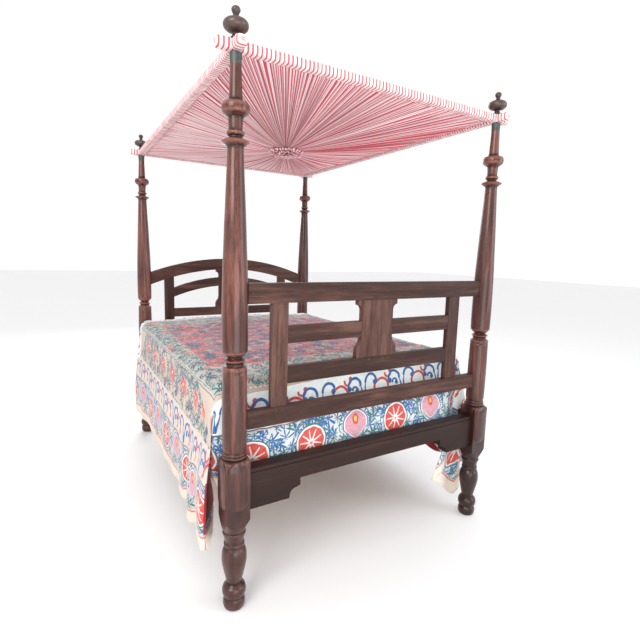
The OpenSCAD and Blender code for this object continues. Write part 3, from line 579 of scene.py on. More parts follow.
def cover_point(across, along, bed):
    """Where a point of the coverlet lies. across and along are its flat place from the mattress's middle."""
    half_x, half_y = bed["half_x"] - COVER_BEND, bed["half_y"] - COVER_BEND
    side, end = np.sign(across), np.sign(along)
    q = np.maximum(np.abs(across) - half_x, 0)
    p = np.maximum(np.abs(along) - half_y, 0)
    reach = np.hypot(p, q)
    safe = np.maximum(reach, 1e-9)
    bend = np.minimum(reach / COVER_BEND, math.pi / 2)
    out = COVER_BEND * np.sin(bend)
    hang = np.maximum(reach - COVER_BEND * math.pi / 2, 0)
    drop = COVER_BEND * (1 - np.cos(bend)) + hang
    x = np.minimum(np.abs(across), half_x) + out * q / safe
    y = np.minimum(np.abs(along), half_y) + out * p / safe
    crossed = np.where((side > 0) & (end < 0), 1.0, 0.0)
    fold_y, fold_x, layer, behind = corner_fold(reach, np.arctan2(p, q), crossed)
    corner = np.where((p > 0) & (q > 0), smooth(COVER_BEND * 1.2, 0.24, reach), 0)
    x = x * (1 - corner) + (half_x + fold_x) * corner
    y = y * (1 - corner) + (half_y + fold_y) * corner
    # the side drapes lean out to pass the bed rails and their own folded corners
    hangs = np.where(q > 0, 1.0, 0.0)
    lean = np.where(side < 0, 0.010 * smooth(0.05, 0.4, drop), 0.044 * smooth(0.06, 0.33, drop))
    near_corner = smooth(half_y - 0.40, half_y, y)
    stack = LAYER_GAP * smooth(0.15, 0.5, drop)
    lean = lean + 3 * stack * near_corner
    spread = np.where(side < 0, 1 + 1.1 * smooth(0.33, 0.5, drop), 1.0)
    lean = lean - layer * stack * spread
    on_end = np.clip(1 - (fold_x / COVER_BEND), 0, 1) * corner
    x = x + hangs * lean * (1 - on_end)
    outermost = 1 - np.clip(layer, 0, 1)
    x = x + hangs * side_folds(end * y, drop, 1) * outermost * (1 - on_end)
    # the end drops lean out towards the boards, but not into the posts
    away = smooth(0, 0.14, half_x - np.minimum(np.abs(across), half_x + fold_x)) * np.where(p > 0, 1.0, 0.0)
    lean_end = np.where(end < 0, 0.048 * smooth(0.02, 0.31, drop), 0.008 * smooth(0.02, 0.2, drop))
    y = y + lean_end * away + away * 0.003 * ripple(across * 1.3, 21) * smooth(0.04, 0.3, drop)
    y = y + behind * 0.0045 * smooth(0.05, 0.2, drop) * corner
    # by the left foot post the side drape is pushed on towards the post
    onward = np.where((side < 0) & (end < 0), 0.034, 0) * smooth(0.08, 0.35, drop) * corner
    y = y + onward * (1 - smooth(0.5, 2.0, layer)) * np.clip(fold_y / COVER_BEND, 0, 1)
    # the level top: a low crown and the soft creases of a made bed
    crown = 0.014 * (1 - smooth(0.0, 1.0, np.abs(across) / half_x)) + 0.004
    creases = 0.0026 * ripple(across * 0.9 + 0.35 * along, 11)
    creases = creases + 0.0020 * ripple(along * 1.2 - 0.2 * across, 12)
    z = bed["top"] + 0.004 + (crown + creases) * (1 - smooth(0, 0.05, reach)) - drop
    scallop = 0.030 * (1 - smooth(-0.75, -0.2, end * y)) + 0.006
    z = z + hangs * (p <= 0) * scallop * (0.5 - side_wave(end * y, 1)) * smooth(0.3, 0.69, drop)
    return bed["mid_x"] + side * x, bed["mid_y"] + end * y, z, layer


def wrinkled(points, amount):
    """Moves points a little, so that the cloth isn't perfectly even. It is uneven in the same way on each run."""
    noise_field.seed_set(1)
    moved = points.copy()
    for scale, share in ((7.0, 1.0), (17.0, 0.45)):
        for k, point in enumerate(points):
            push = noise_field.noise_vector(Vector(point) * scale)
            moved[k, 0] += amount * share * push.x
            moved[k, 2] += amount * share * push.z * 0.5
    return moved


def coverlet_mesh():
    low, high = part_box("mattress")
    bed = {"half_x": (high.x - low.x) / 2 + 0.004, "half_y": (high.y - low.y) / 2 + 0.003,
           "mid_x": (high.x + low.x) / 2, "mid_y": (high.y + low.y) / 2, "top": high.z}
    slack = COVER_BEND * (math.pi / 2 - 1)
    wide = bed["half_x"] + DROP_SIDE + slack - COVER_BEND
    foot = bed["half_y"] + DROP_FOOT + slack - COVER_BEND
    head = bed["half_y"] + DROP_HEAD + slack - COVER_BEND
    columns = int(round(2 * wide / COVER_STEP)) + 1
    rows = int(round((foot + head) / COVER_STEP)) + 1
    across, along = np.meshgrid(np.linspace(-wide, wide, columns), np.linspace(-foot, head, rows))
    # under the left foot corner the hem is bunched up
    short = (DROP_FOOT - DROP_FOOT_LEFT) * smooth(bed["half_x"] - COVER_BEND, bed["half_x"] + 0.25, -across)
    past = np.clip((-along - bed["half_y"] + 0.1) / DROP_FOOT, 0, 1)
    # under the right foot corner more of it hangs at the end and less at the side
    tail = -0.18 * smooth(bed["half_x"] - COVER_BEND, bed["half_x"] + 0.15, across)
    raised = 0.12 * smooth(bed["half_y"] - 0.05, bed["half_y"] + 0.15, -along)
    raised = raised * smooth(bed["half_x"], bed["half_x"] + 0.5, across)
    x, y, z, layer = cover_point(across - raised, along + (short + tail) * past, bed)
    points = wrinkled(np.stack([x, y, z], -1).reshape(-1, 3), 0.0016)
    # the coverlet lies a little askew, so its border hangs lower at the left of the foot
    askew = 0.050 * smooth(-0.35, 0.75, -across) * smooth(bed["half_y"] - 0.3, bed["half_y"], -along)
    askew = askew * smooth(0, 0.12, along + foot)
    # under the left foot corner the spare cloth is turned, lining out
    hem = np.minimum(wide - np.abs(across), along + foot)
    turned_out = (layer > 0.5) & (x < -0.69) & (y < 0) & (z < 0.665 + 1.3 * (x + 0.70)) & (hem > 0.055)
    index = np.arange(rows * columns).reshape(rows, columns)
    faces = np.stack([index[:-1, :-1], index[:-1, 1:], index[1:, 1:], index[1:, :-1]], -1).reshape(-1, 4)
    mesh = bpy.data.meshes.new("coverlet_cloth")
    mesh.from_pydata(points.tolist(), [], faces.tolist())
    flat_map(mesh, np.stack([across + wide, along + foot + askew], -1).reshape(-1, 2))
    set_attribute(mesh, "turned_out", turned_out.reshape(-1).astype(float))
    # under the right one it is doubled, print out on both sides
    doubled = (layer > 0.5) & (x > 0.3) & (y < -0.5)
    set_attribute(mesh, "doubled", doubled.reshape(-1).astype(float))
    return mesh, 2 * wide, foot + head


def flat_map(mesh, flat):
    """Gives each vertex its place in the flat cloth, in metres, as a UV map."""
    layer = mesh.uv_layers.new(name="flat")
    corners = np.empty(len(mesh.loops), int)
    mesh.loops.foreach_get("vertex_index", corners)
    layer.data.foreach_set("uv", flat[corners].reshape(-1))


def thickened(piece, thickness, subdivide=0, inner_material=0):
    """Gives a one-sided sheet its thickness, and smooth shading."""
    if subdivide:
        smoother = piece.modifiers.new("smooth", "SUBSURF")
        smoother.levels = subdivide
        smoother.render_levels = subdivide
    thick = piece.modifiers.new("thick", "SOLIDIFY")
    thick.thickness = thickness
    thick.offset = -1
    thick.material_offset = inner_material
    apply_modifiers(piece)
    for face in piece.data.polygons:
        face.use_smooth = True


def make_coverlet():
    mesh, width, length = coverlet_mesh()
    mesh.materials.append(coverlet_print(width, length))
    mesh.materials.append(lining_cloth())
    piece = new_piece("coverlet_cloth", mesh)
    thickened(piece, 0.0022, 1, 1)
    for name, index in (("turned_out", 1), ("doubled", 0)):
        shows = np.empty(len(piece.data.vertices), np.float32)
        piece.data.attributes[name].data.foreach_get("value", shows)
        for face in piece.data.polygons:
            if shows[face.vertices[0]] > 0.5:
                face.material_index = index
    finish_piece(piece, "bedding", "coverlet", "coverlet")


# ---------------------------------------------------------------- coverlet print

CREAM = (0.50, 0.385, 0.325)
HEM = (0.66, 0.57, 0.48)
RED = (0.58, 0.055, 0.048)
CORAL = (0.62, 0.14, 0.11)
PINK = (0.62, 0.36, 0.41)
TEAL = (0.008, 0.150, 0.180)
BLUE = (0.010, 0.110, 0.36)
NAVY = (0.016, 0.04, 0.12)
PLUM = (0.12, 0.06, 0.26)
PALE = (0.78, 0.75, 0.73)
AQUA = (0.82, 0.88, 0.87)
MOTIF_PITCH = 0.25          # distance between the medallions along a border
LINE = 0.0035               # half the width of a printed line
EDGE = 0.0012               # how softly an inked shape ends
BORDER = 0.169              # distance in from the hem to the middle of the medallions
SCROLLS = 0.360             # and to the middle of the scrolls


class Print:
    """Inks laid one over another on the cloth."""

    def __init__(self, tree, ground):
        self.tree = tree
        self.colour = ground
        self.mask = 1.0

    def ink(self, share, colour):
        self.colour = mix(self.tree, share * self.mask, self.colour, colour)


def inside(distance):
    """1 where distance is positive, softened at the edge like ink in cloth."""
    return distance.rise(-EDGE, EDGE)


def disc(x, y, r):
    return inside(r - hypot(x, y))


def ring(x, y, r, half=LINE):
    return inside(half - abs(hypot(x, y) - r))


def hook(x, y, cx, cy, r, up, end, half=0.0048):
    """A half ring that opens down (up = 1) or up (up = -1), with a ball on its left (end = -1) or right."""
    dx, dy = x - cx, (y - cy) * up
    arc = ring(dx, dy, r, half) * inside(dy + 0.2 * r)
    return arc.max(disc(dx - end * r * 0.80, dy + r * 0.30, half * 1.9))


def stroke(x, y, x0, y0, x1, y1, half):
    """A straight brush stroke, thin at its far end."""
    dx, dy = x1 - x0, y1 - y0
    length = math.hypot(dx, dy)
    along = ((x - x0) * (dx / length) + (y - y0) * (dy / length)) / length
    away = abs((x - x0) * (-dy / length) + (y - y0) * (dx / length))
    thin = (1.15 - along) * half
    return inside(thin - away) * inside(along * length) * inside((1.0 - along) * length)


def scatter(tree, where, scale, jitter=0.9):
    """How far the nearest of many random points is each way, in metres, with three random shares."""
    node = tree.nodes.new("ShaderNodeTexVoronoi")
    node.voronoi_dimensions = "2D"
    node.inputs["Scale"].default_value = scale
    node.inputs["Randomness"].default_value = jitter
    tree.links.new(where, node.inputs["Vector"])
    here = split(tree, where)
    point = split(tree, node.outputs["Position"])
    chance = split(tree, node.outputs["Color"])
    return here[0] - point[0], here[1] - point[1], chance


def sprig(x, y, chance, size, blades, slim=3.0, fan=0.0):
    """How far a point lies inside a star of leaf blades turned at random. A fan's blades are on one side."""
    angle = y.op("ARCTAN2", x) + chance[0] * TAU
    blade = abs((angle * (blades / 2)).cos()) ** slim
    reach = (blade * 0.86 + 0.12) * size * (chance[1] * 0.4 + 0.8)
    if fan:
        reach = reach * (angle.cos() * (fan / 2) + (1 - fan / 2))
    return reach - hypot(x, y)


def medallion(p, a, b):
    """A red round with pale spokes in a pale and a teal ring."""
    r = hypot(a, b)
    angle = b.op("ARCTAN2", a)
    spoke = angle.wrap(TAU / 9) - TAU / 18
    p.ink(ring(a, b, 0.100, 0.0024), BLUE)
    p.ink(inside(0.079 - r), PALE)
    p.ink(ring(a, b, 0.0795, 0.0032), TEAL)
    p.ink(inside((angle * 9).cos() * 0.0014 + 0.068 - r), RED)
    p.ink(inside(0.0024 - r * abs(spoke) * (r * 9 + 0.5)) * inside(0.057 - r), PALE)
    p.ink(disc(a * 1.1, b + 0.006, 0.017), (0.66, 0.63, 0.61))
    p.ink(disc(a, b + 0.004, 0.0060), CORAL)


def pear(p, tree, a, b):
    """A pink pear shape with a dotted field and a red and yellow eye."""
    point = hypot(a, b - 0.008) + abs(a) * 0.30 * (b * -30).rise(0.2, 1.0)
    p.ink(inside(0.0026 - abs(point - 0.094)), TEAL)
    p.ink(inside(0.078 - point), PALE)
    p.ink(inside(0.0034 - abs(point - 0.073)), BLUE)
    dots = noise(tree, vector(tree, a, b), 130, 2)
    p.ink(inside(0.064 - point), mix(tree, dots.rise(0.42, 0.58), PINK, (0.52, 0.22, 0.29)))
    p.ink(disc(a, (b - 0.034) * 0.72, 0.019), RED)
    p.ink(disc(a, (b - 0.036) * 0.68, 0.009), (0.74, 0.50, 0.14))


def palmette(a, b):
    """A forked stem with a curl to each side, and a smaller curl inside the left one."""
    mark = hook(a, b, -0.046, 0.008, 0.032, 1, -1, 0.0058).max(hook(a, b, 0.043, 0.016, 0.029, 1, 1, 0.0058))
    mark = mark.max(hook(a, b, -0.043, -0.010, 0.013, 1, 1, 0.0050))
    mark = mark.max(stroke(a, b, 0.004, -0.062, -0.016, 0.016, 0.0070))
    return mark.max(stroke(a, b, 0.004, -0.062, 0.018, 0.026, 0.0070))


def curls(a, b):
    """A broad curl with a small one hooked back over it."""
    mark = hook(a, b, -0.010, -0.022, 0.040, 1, -1, 0.0056)
    mark = mark.max(hook(a, b, 0.030, 0.036, 0.018, -1, 1, 0.0048))
    return mark.max(stroke(a, b, 0.028, -0.030, 0.052, -0.058, 0.0055))


def cluster(x, y):
    """How far a point lies inside a hanging bunch of red petals."""
    angle = x.op("ARCTAN2", -y)
    petals = abs((angle * 5.5).cos()) ** 1.6
    return (petals * 0.66 + 0.34) * 0.088 * (angle.cos() * 0.36 + 0.64) - hypot(x, y)


def fern(x, y, turn, length):
    """A leafy twig, turned by an angle."""
    along = x * math.cos(turn) + y * math.sin(turn)
    away = abs(y * math.cos(turn) - x * math.sin(turn))
    barbs = abs(along.wrap(0.017) - 0.0085 - away * 0.55 + 0.004)
    leaves = inside(0.0036 - barbs) * inside(length - abs(along))
    leaves = leaves * inside((length - along) * 0.5 + 0.006 - away)
    return leaves.max(inside(0.0024 - away) * inside(length * 1.15 - abs(along)))


def coverlet_print(width, length):
    material, tree, shader = new_material("coverlet_print", Roughness=0.86, Sheen_Weight=0.18,
                                          Sheen_Roughness=0.5, Specular_IOR_Level=0.25)
    flat = flat_place(tree)
    fu, fv = split(tree, flat)[:2]
    wobble_a = noise(tree, flat, 16, 2) - 0.5
    wobble_b = noise(tree, vector(tree, fv + 3.1, fu), 16, 2) - 0.5
    u = fu + wobble_a * 0.012
    v = fv + wobble_b * 0.012
    cloth = vector(tree, u, v)
    # d is the distance in from the nearest hem, s the distance along it, and e the distance in from the
    # edge of the bed's top, less on the sides because they hang further
    side = u.min(width - u)
    ends = v.min(length - v)
    d = side.min(ends)
    e = (side - 0.19).min(ends)
    on_side = inside(ends - side)
    # near the foot corners the side drapes are bunched, which brings their motifs closer together
    from_middle = length / 2 + (DROP_FOOT - DROP_HEAD) / 2 - v
    bunched = from_middle.rise(0.65, 0.86) * 0.22
    s = (v - length / 2 + MOTIF_PITCH - bunched) * on_side + (u - width / 2) * (1 - on_side) + 0.046
    faded = noise(tree, flat, 3.5, 3)
    slub = noise(tree, flat, 55, 3)
    ground = mix(tree, faded.rise(0.35, 0.7), CREAM, (0.56, 0.45, 0.38))
    pale_ground = mix(tree, faded.rise(0.35, 0.7), AQUA, (0.76, 0.82, 0.82))
    leaf_ground = mix(tree, faded.rise(0.35, 0.7), (0.66, 0.68, 0.69), (0.58, 0.62, 0.62))
    p = Print(tree, ground)

    # middle field: rose and rust flowers outlined in navy, on a dusky ground
    inner = (side - 0.06).min(ends)
    field = inside(inner - 0.70)
    p.ink(field * 0.85, (0.31, 0.25, 0.26))
    for scale, size, inks in ((6.0, 0.085, (CORAL, RED)), (8.0, 0.062, (RED, (0.45, 0.10, 0.16))),
                              (13, 0.034, (RED, NAVY))):
        x, y, chance = scatter(tree, cloth, scale)
        shape = sprig(x, y, chance, size, 7, 0.7)
        p.ink(inside(shape + 0.0040) * field * 0.9, NAVY)
        p.ink(inside(shape) * field * 0.9, mix(tree, chance[2].rise(0.45, 0.55), *inks))
        p.ink(disc(x, y, size * 0.26) * field, mix(tree, chance[2].rise(0.45, 0.55), CREAM, BLUE))
        p.ink(disc(x, y, size * 0.12) * field, RED)
    for scale, size in ((9, 0.055), (14, 0.040)):
        x, y, chance = scatter(tree, cloth, scale)
        p.ink(inside(sprig(x, y, chance, size, 9, 3.5, 0.9)) * field,
              mix(tree, chance[2].rise(0.5, 0.55), TEAL, NAVY))

    # band of small dark leaves round the edge of the bed's top
    leaves = inside(e - 0.47) * (1 - field)
    p.ink(leaves * 0.85, (0.40, 0.42, 0.38))
    for scale, size in ((13, 0.055), (18, 0.042), (24, 0.032)):
        x, y, chance = scatter(tree, cloth, scale)
        p.ink(inside(sprig(x, y, chance, size, 7, 4.0, 0.8)) * leaves,
              mix(tree, chance[2].rise(0.6, 0.65), TEAL, NAVY))
    x, y, chance = scatter(tree, cloth, 7)
    p.ink(inside(sprig(x, y, chance, 0.030, 6, 1.0)) * leaves, CORAL)
    wave = abs(e - 0.462 - (s * (TAU / 0.05)).sin() * 0.004)
    p.ink(inside(0.0020 - wave), TEAL)
    p.ink(inside(0.0030 - abs(inner - 0.705)), RED)

    # open band: hanging red flowers and leafy twigs, on the upper part of the side drapes
    open_band = inside(d - 0.435) * inside(0.462 - e) * on_side
    for scale, size in ((10, 0.056), (13, 0.050), (17, 0.042)):
        x, y, chance = scatter(tree, cloth, scale)
        p.ink(inside(sprig(x, y, chance, size, 7, 3.6, 0.8)) * open_band,
              mix(tree, chance[2].rise(0.5, 0.55), TEAL, NAVY))
    cell = s.wrap(MOTIF_PITCH) - MOTIF_PITCH / 2
    rise = d - 0.585
    p.ink(inside(cluster(cell, rise) + 0.010) * open_band, ground)
    p.ink(inside(cluster(cell, rise)) * open_band, RED)
    p.ink(stroke(cell, rise, 0.004, 0.010, 0.036, 0.058, 0.011) * open_band, PLUM)
    p.ink(disc(cell, rise + 0.014, 0.009) * open_band, PALE)
    twig = (s + MOTIF_PITCH / 2).wrap(MOTIF_PITCH) - MOTIF_PITCH / 2
    p.ink(fern(twig, d - 0.595, 0.9, 0.052) * open_band, TEAL)
    p.ink(fern(twig - 0.02, d - 0.490, -0.7, 0.046) * open_band, NAVY)

    # scroll border: blue palmettes and red curls
    scroll = inside(d - 0.283) * inside(0.438 - d)
    # the foot face's scroll ground is paler and bluer than on the sides: partly the print's pale aqua ground,
    # partly painted light that brightens where the top rail shades it
    p.ink(scroll * (1 - on_side * 0.75), pale_ground)
    b = d - SCROLLS
    a = (s + MOTIF_PITCH * 0.75).wrap(MOTIF_PITCH) - MOTIF_PITCH / 2
    p.ink(curls(a / 1.12, b / 1.12) * scroll, RED)
    a = (s + MOTIF_PITCH / 4).wrap(MOTIF_PITCH) - MOTIF_PITCH / 2
    p.ink(palmette(a / 1.12, b / 1.12) * scroll, BLUE)
    p.ink(inside(LINE * 0.7 - abs(d - 0.280 - (s * (TAU / MOTIF_PITCH)).cos() * 0.004)), NAVY)

    # medallion border: red and pink rounds among sharp leaves
    border = inside(d - 0.066) * inside(0.276 - d)
    p.ink(border * (1 - on_side * 0.6), leaf_ground)
    for scale, size, sparse in ((12, 0.058, 0), (15, 0.050, 1), (19, 0.042, 1)):
        x, y, chance = scatter(tree, cloth, scale)
        p.ink(inside(sprig(x, y, chance, size, 7, 3.6, 0.6)) * border * (1 - on_side * 0.8 * sparse),
              mix(tree, chance[2].rise(0.50, 0.55), TEAL, BLUE))
    a = s.wrap(2 * MOTIF_PITCH) - MOTIF_PITCH
    medallion(p, a, d - BORDER)
    # the foot's left corner has a medallion where a pear would come next
    at_corner = inside(-0.30 - s) * (1 - on_side) * inside(length / 2 - v)
    p.mask = 1 - at_corner
    a = (s + MOTIF_PITCH).wrap(2 * MOTIF_PITCH) - MOTIF_PITCH
    pear(p, tree, a, d - BORDER - 0.014)
    p.mask = at_corner
    medallion(p, s + 0.534, d - BORDER + 0.008)
    p.mask = 1.0

    # plain hem with its red line
    hem = mix(tree, faded.rise(0.35, 0.7), HEM, (0.72, 0.63, 0.54))
    p.ink(inside(0.062 - d), hem)
    p.ink(inside(LINE * 0.9 - abs(d - 0.058)), RED)
    p.ink(inside(0.0016 - abs(d - 0.008)) * 0.35, (0.45, 0.36, 0.26))

    thread = mix(tree, slub.rise(0.3, 0.7) * 0.16, p.colour, (0.45, 0.38, 0.30))
    tree.links.new(thread, shader.inputs["Base Color"])
    warp = (fu * (TAU / THREAD)).sin() * 0.5
    weft = (fv * (TAU / THREAD)).sin() * 0.5
    add_bump(tree, shader, warp * weft + slub * 2.2, 0.35, 0.0007)
    return material


def lining_cloth():
    """The plain dark red cotton on the coverlet's underside."""
    material, tree, shader = new_material("coverlet_lining", Roughness=0.9, Sheen_Weight=0.15)
    flat = flat_place(tree)
    slub = noise(tree, flat, 60, 3)
    colour = mix(tree, slub.rise(0.3, 0.75), (0.34, 0.022, 0.024), (0.22, 0.014, 0.018))
    tree.links.new(colour, shader.inputs["Base Color"])
    add_bump(tree, shader, slub, 0.3, 0.0008)
    return material


# ---------------------------------------------------------------- mattress

def make_mattress():
    """A stuffed cotton mattress in striped ticking, with a corded edge above and below."""
    low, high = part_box("mattress")
    size, middle = high - low, (high + low) / 2
    shape = bmesh.new()
    bmesh.ops.create_cube(shape, size=1)
    bmesh.ops.subdivide_edges(shape, edges=shape.edges, cuts=23, use_grid_fill=True)
    round_power = 14
    for vert in shape.verts:
        a, b, c = (2 * v for v in vert.co)
        across, along, up = (1 - abs(v) ** 2 for v in (a, b, c))
        corner = 1
        if abs(a) + abs(b) > 1:
            corner = min((abs(a) ** round_power + abs(b) ** round_power) ** (-1 / round_power), 1)
        belly = 1 - 0.010 * (1 - up)
        crown = 1 - 0.05 * (1 - across ** 0.5 * along ** 0.5)
        dimple = 0.012 * (math.cos(a * 9.4) * math.cos(b * 12.6)) * across * along
        vert.co.x = middle.x + a / 2 * size.x * corner * belly * 0.996
        vert.co.y = middle.y + b / 2 * size.y * corner * belly * 0.996
        vert.co.z = middle.z + c / 2 * size.z * (crown - (dimple if c > 0.99 else 0)) * 0.985
    mesh = bpy.data.meshes.new("mattress_ticking")
    shape.to_mesh(mesh)
    shape.free()
    mesh.materials.append(ticking_cloth())
    piece = new_piece("mattress_ticking", mesh)
    smoother = piece.modifiers.new("smooth", "SUBSURF")
    smoother.levels = 1
    apply_modifiers(piece)
    for face in piece.data.polygons:
        face.use_smooth = True
    finish_piece(piece, "bedding", "mattress_cover", "mattress")
    for name, height in (("mattress_cord_low", low.z + 0.024), ("mattress_cord_high", high.z - 0.024)):
        cord = edge_cord(name, middle, size, height)
        finish_piece(cord, "bedding", "mattress_cover")


def edge_cord(name, middle, size, height):
    """The corded seam round the mattress."""
    points, round_corner, steps = [], 0.06, 6
    half = (size.x / 2 - 0.009, size.y / 2 - 0.009)
    for turn in range(4):
        sx, sy = ((1, 1), (-1, 1), (-1, -1), (1, -1))[turn]
        for k in range(steps + 1):
            angle = math.pi / 2 * (turn + k / steps)
            points.append((middle.x + sx * (half[0] - round_corner) + round_corner * math.cos(angle),
                           middle.y + sy * (half[1] - round_corner) + round_corner * math.sin(angle)))
    rings, sides, thick = [], 8, 0.005
    shape = bmesh.new()
    count = len(points)
    for k, (x, y) in enumerate(points):
        ahead, behind = points[(k + 1) % count], points[k - 1]
        heading = math.atan2(ahead[1] - behind[1], ahead[0] - behind[0])
        ring = []
        for j in range(sides):
            a = TAU * j / sides
            ring.append(shape.verts.new((x + thick * math.cos(a) * math.sin(heading),
                                         y - thick * math.cos(a) * math.cos(heading),
                                         height + thick * math.sin(a))))
        rings.append(ring)
    for k in range(count):
        for j in range(sides):
            face = shape.faces.new((rings[k][j], rings[k][(j + 1) % sides],
                                    rings[(k + 1) % count][(j + 1) % sides], rings[(k + 1) % count][j]))
            face.smooth = True
    bmesh.ops.recalc_face_normals(shape, faces=shape.faces)
    mesh = bpy.data.meshes.new(name)
    shape.to_mesh(mesh)
    shape.free()
    mesh.materials.append(ticking_cloth())
    return new_piece(name, mesh)


def ticking_cloth():
    material, tree, shader = new_material("mattress_ticking", Roughness=0.85, Sheen_Weight=0.2)
    here = split(tree, place(tree))
    stripe = here[0].wrap(0.022)
    blue = stripe.rise(0.0015, 0.002) * (1 - stripe.rise(0.0055, 0.006))
    thin = stripe.rise(0.0085, 0.009) * (1 - stripe.rise(0.0098, 0.0103))
    slub = noise(tree, place(tree, (1, 6, 6)), 60, 3)
    colour = mix(tree, blue.max(thin), (0.72, 0.66, 0.55), (0.10, 0.14, 0.26))
    colour = mix(tree, slub.rise(0.4, 0.8) * 0.3, colour, (0.48, 0.43, 0.35))
    tree.links.new(colour, shader.inputs["Base Color"])
    add_bump(tree, shader, slub, 0.3, 0.001)
    return material


# ---------------------------------------------------------------- canopy

PLEATS = 240
PLEAT_COLUMNS = 10
CANOPY_ROWS = 30
CANOPY_FULLNESS = 1.45      # cloth along the edge for each metre of edge
KNOT_RADIUS = 0.045         # where the pleats meet the rosette
STRIPE_PITCH = 0.018
WRAP_END = 0.008            # how far the bands' cloth goes past the ends of their rails


def outline_points(s, half_x, half_y):
    """Points on a rectangle, a distance s round it from the middle of its right side."""
    lengths = [half_y, 2 * half_x, 2 * half_y, 2 * half_x, half_y]
    stops = np.concatenate([[0], np.cumsum(lengths)])
    xs = [half_x, half_x, -half_x, -half_x, half_x, half_x]
    ys = [0, half_y, half_y, -half_y, -half_y, 0]
    return np.interp(s, stops, xs), np.interp(s, stops, ys)


def make_canopy_cloth():
    """The canopy's underside: striped cloth pleated from its frame to one knot in the middle."""
    low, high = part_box("canopy_cloth")
    tuck = 0.006
    half_x, half_y = high.x + tuck, high.y + tuck
    around = 4 * (half_x + half_y)
    columns = PLEATS * PLEAT_COLUMNS
    count = np.arange(columns)
    s = around * count / columns
    rng = np.random.default_rng(5)
    phase = count / PLEAT_COLUMNS + 0.30 * np.sin(TAU * count / columns * 37)
    phase = phase + 0.22 * np.sin(TAU * count / columns * 61 + 1)
    depths = np.resize(rng.uniform(0.45, 1.0, PLEATS), PLEATS + 1)
    height = np.interp(phase % PLEATS, np.arange(PLEATS + 1), depths)
    bunch = 0.5 + 0.5 * np.sin(TAU * (count / columns * 83 + 0.4 * np.sin(TAU * count / columns * 19)))
    edge_x, edge_y = outline_points(s, half_x, half_y)
    length = np.hypot(edge_x, edge_y)
    knot_x, knot_y = edge_x / length * KNOT_RADIUS, edge_y / length * KNOT_RADIUS
    pitch = around / PLEATS
    rows = []
    folds = []
    for row in range(CANOPY_ROWS):
        t = (row / (CANOPY_ROWS - 1)) ** 0.85
        wide = pitch * ((1 - t) + t * KNOT_RADIUS * TAU / around)
        deep = min(0.0062, 0.42 * wide) * min(1, 0.45 + 5 * t)
        wave = (0.5 + 0.5 * np.cos(TAU * phase)) ** 0.8
        gather = min(0.010, 1.6 * wide) * t ** 0.5 * bunch
        fold = wave * height
        x = edge_x + (knot_x - edge_x) * t
        y = edge_y + (knot_y - edge_y) * t
        z = (high.z - 0.003) + (low.z + 0.0005 - high.z + 0.003) * t - 0.010 * math.sin(math.pi * t) * 0.6
        rows.append(np.stack([x, y, z - deep * (2 * fold - 1) - gather + 0.002], -1))
        # painted shade: darker in the pleats' valleys, and between the gathers nearer the knot
        folds.append(0.75 * (1 - fold) + 0.55 * t * (1 - bunch))
    points = np.concatenate(rows)
    index = np.arange(CANOPY_ROWS * columns).reshape(CANOPY_ROWS, columns)
    right = np.roll(index, -1, axis=1)
    faces = np.stack([index[:-1], index[1:], right[1:], right[:-1]], -1).reshape(-1, 4)
    mesh = bpy.data.meshes.new("canopy_pleats")
    mesh.from_pydata(points.tolist(), [], faces.tolist())
    # it was pleated along its stripes
    flat_s = np.tile((phase - phase[0]) * pitch * CANOPY_FULLNESS, CANOPY_ROWS)
    flat_t = np.repeat(np.linspace(0, 1, CANOPY_ROWS), columns) * np.tile(length, CANOPY_ROWS)
    layer = mesh.uv_layers.new(name="flat")
    corners = np.empty(len(mesh.loops), int)
    mesh.loops.foreach_get("vertex_index", corners)
    uv = np.stack([flat_s, flat_t], -1)[corners].reshape(-1, 4, 2)
    # the last column joins the first, so its far side goes on past the whole length
    last = (corners.reshape(-1, 4) % columns).max(1) == columns - 1
    seam = last[:, None] & (corners.reshape(-1, 4) % columns == 0)
    uv[..., 0] += seam * around * CANOPY_FULLNESS
    layer.data.foreach_set("uv", uv.reshape(-1))
    set_attribute(mesh, "fold", np.concatenate(folds))
    mesh.materials.append(striped_cloth("canopy_stripe", 0.50, pitch * CANOPY_FULLNESS / 2))
    piece = new_piece("canopy_pleats", mesh)
    thickened(piece, 0.0008)
    finish_piece(piece, "canopy", "canopy_cloth", "canopy_cloth")


def striped_cloth(name, red_share, pitch, ink=(0.60, 0.055, 0.085)):
    """White cotton with rose and red pin stripes, with painted shade where it folds away."""
    material, tree, shader = new_material(name, Roughness=0.8, Sheen_Weight=0.15, Specular_IOR_Level=0.25)
    flat = flat_place(tree)
    u, v = split(tree, flat)[:2]
    drift = noise(tree, vector(tree, u * 6, v * 0.6), 1.0, 2) - 0.5
    here = u + drift * 0.4 * pitch
    stripe = here.wrap(pitch) / pitch
    wide = (stripe - 0.5).op("ABSOLUTE") * 2
    uneven = noise(tree, vector(tree, u * 25, v * 0.4), 1.0, 2) - 0.5
    red = (red_share + uneven * 0.35 - wide).rise(-0.10, 0.06)
    thin = (0.10 - ((stripe + 0.5).wrap(1) - 0.5).op("ABSOLUTE") * 2).rise(-0.05, 0.05)
    shade = noise(tree, vector(tree, u * 30, v * 1.2), 1.0, 3)
    rose = mix(tree, shade.rise(0.4, 0.62), ink, (0.46, 0.090, 0.115))
    ground = mix(tree, shade.rise(0.35, 0.65), (0.95, 0.91, 0.90), (0.80, 0.66, 0.68))
    colour = mix(tree, red, ground, rose)
    colour = mix(tree, thin * 0.7, colour, rose)
    # painted shade: the fold attribute darkens the cloth towards a deep rose in its hollows
    fold = attribute(tree, "fold")
    colour = mix(tree, fold.rise(0.45, 1.15) * 0.66, colour, (0.30, 0.075, 0.10))
    tree.links.new(colour, shader.inputs["Base Color"])
    weave = (u * (TAU / 0.0016)).sin() * (v * (TAU / 0.0016)).sin()
    add_bump(tree, shader, weave * 0.5 + shade, 0.25, 0.0006)
    return material


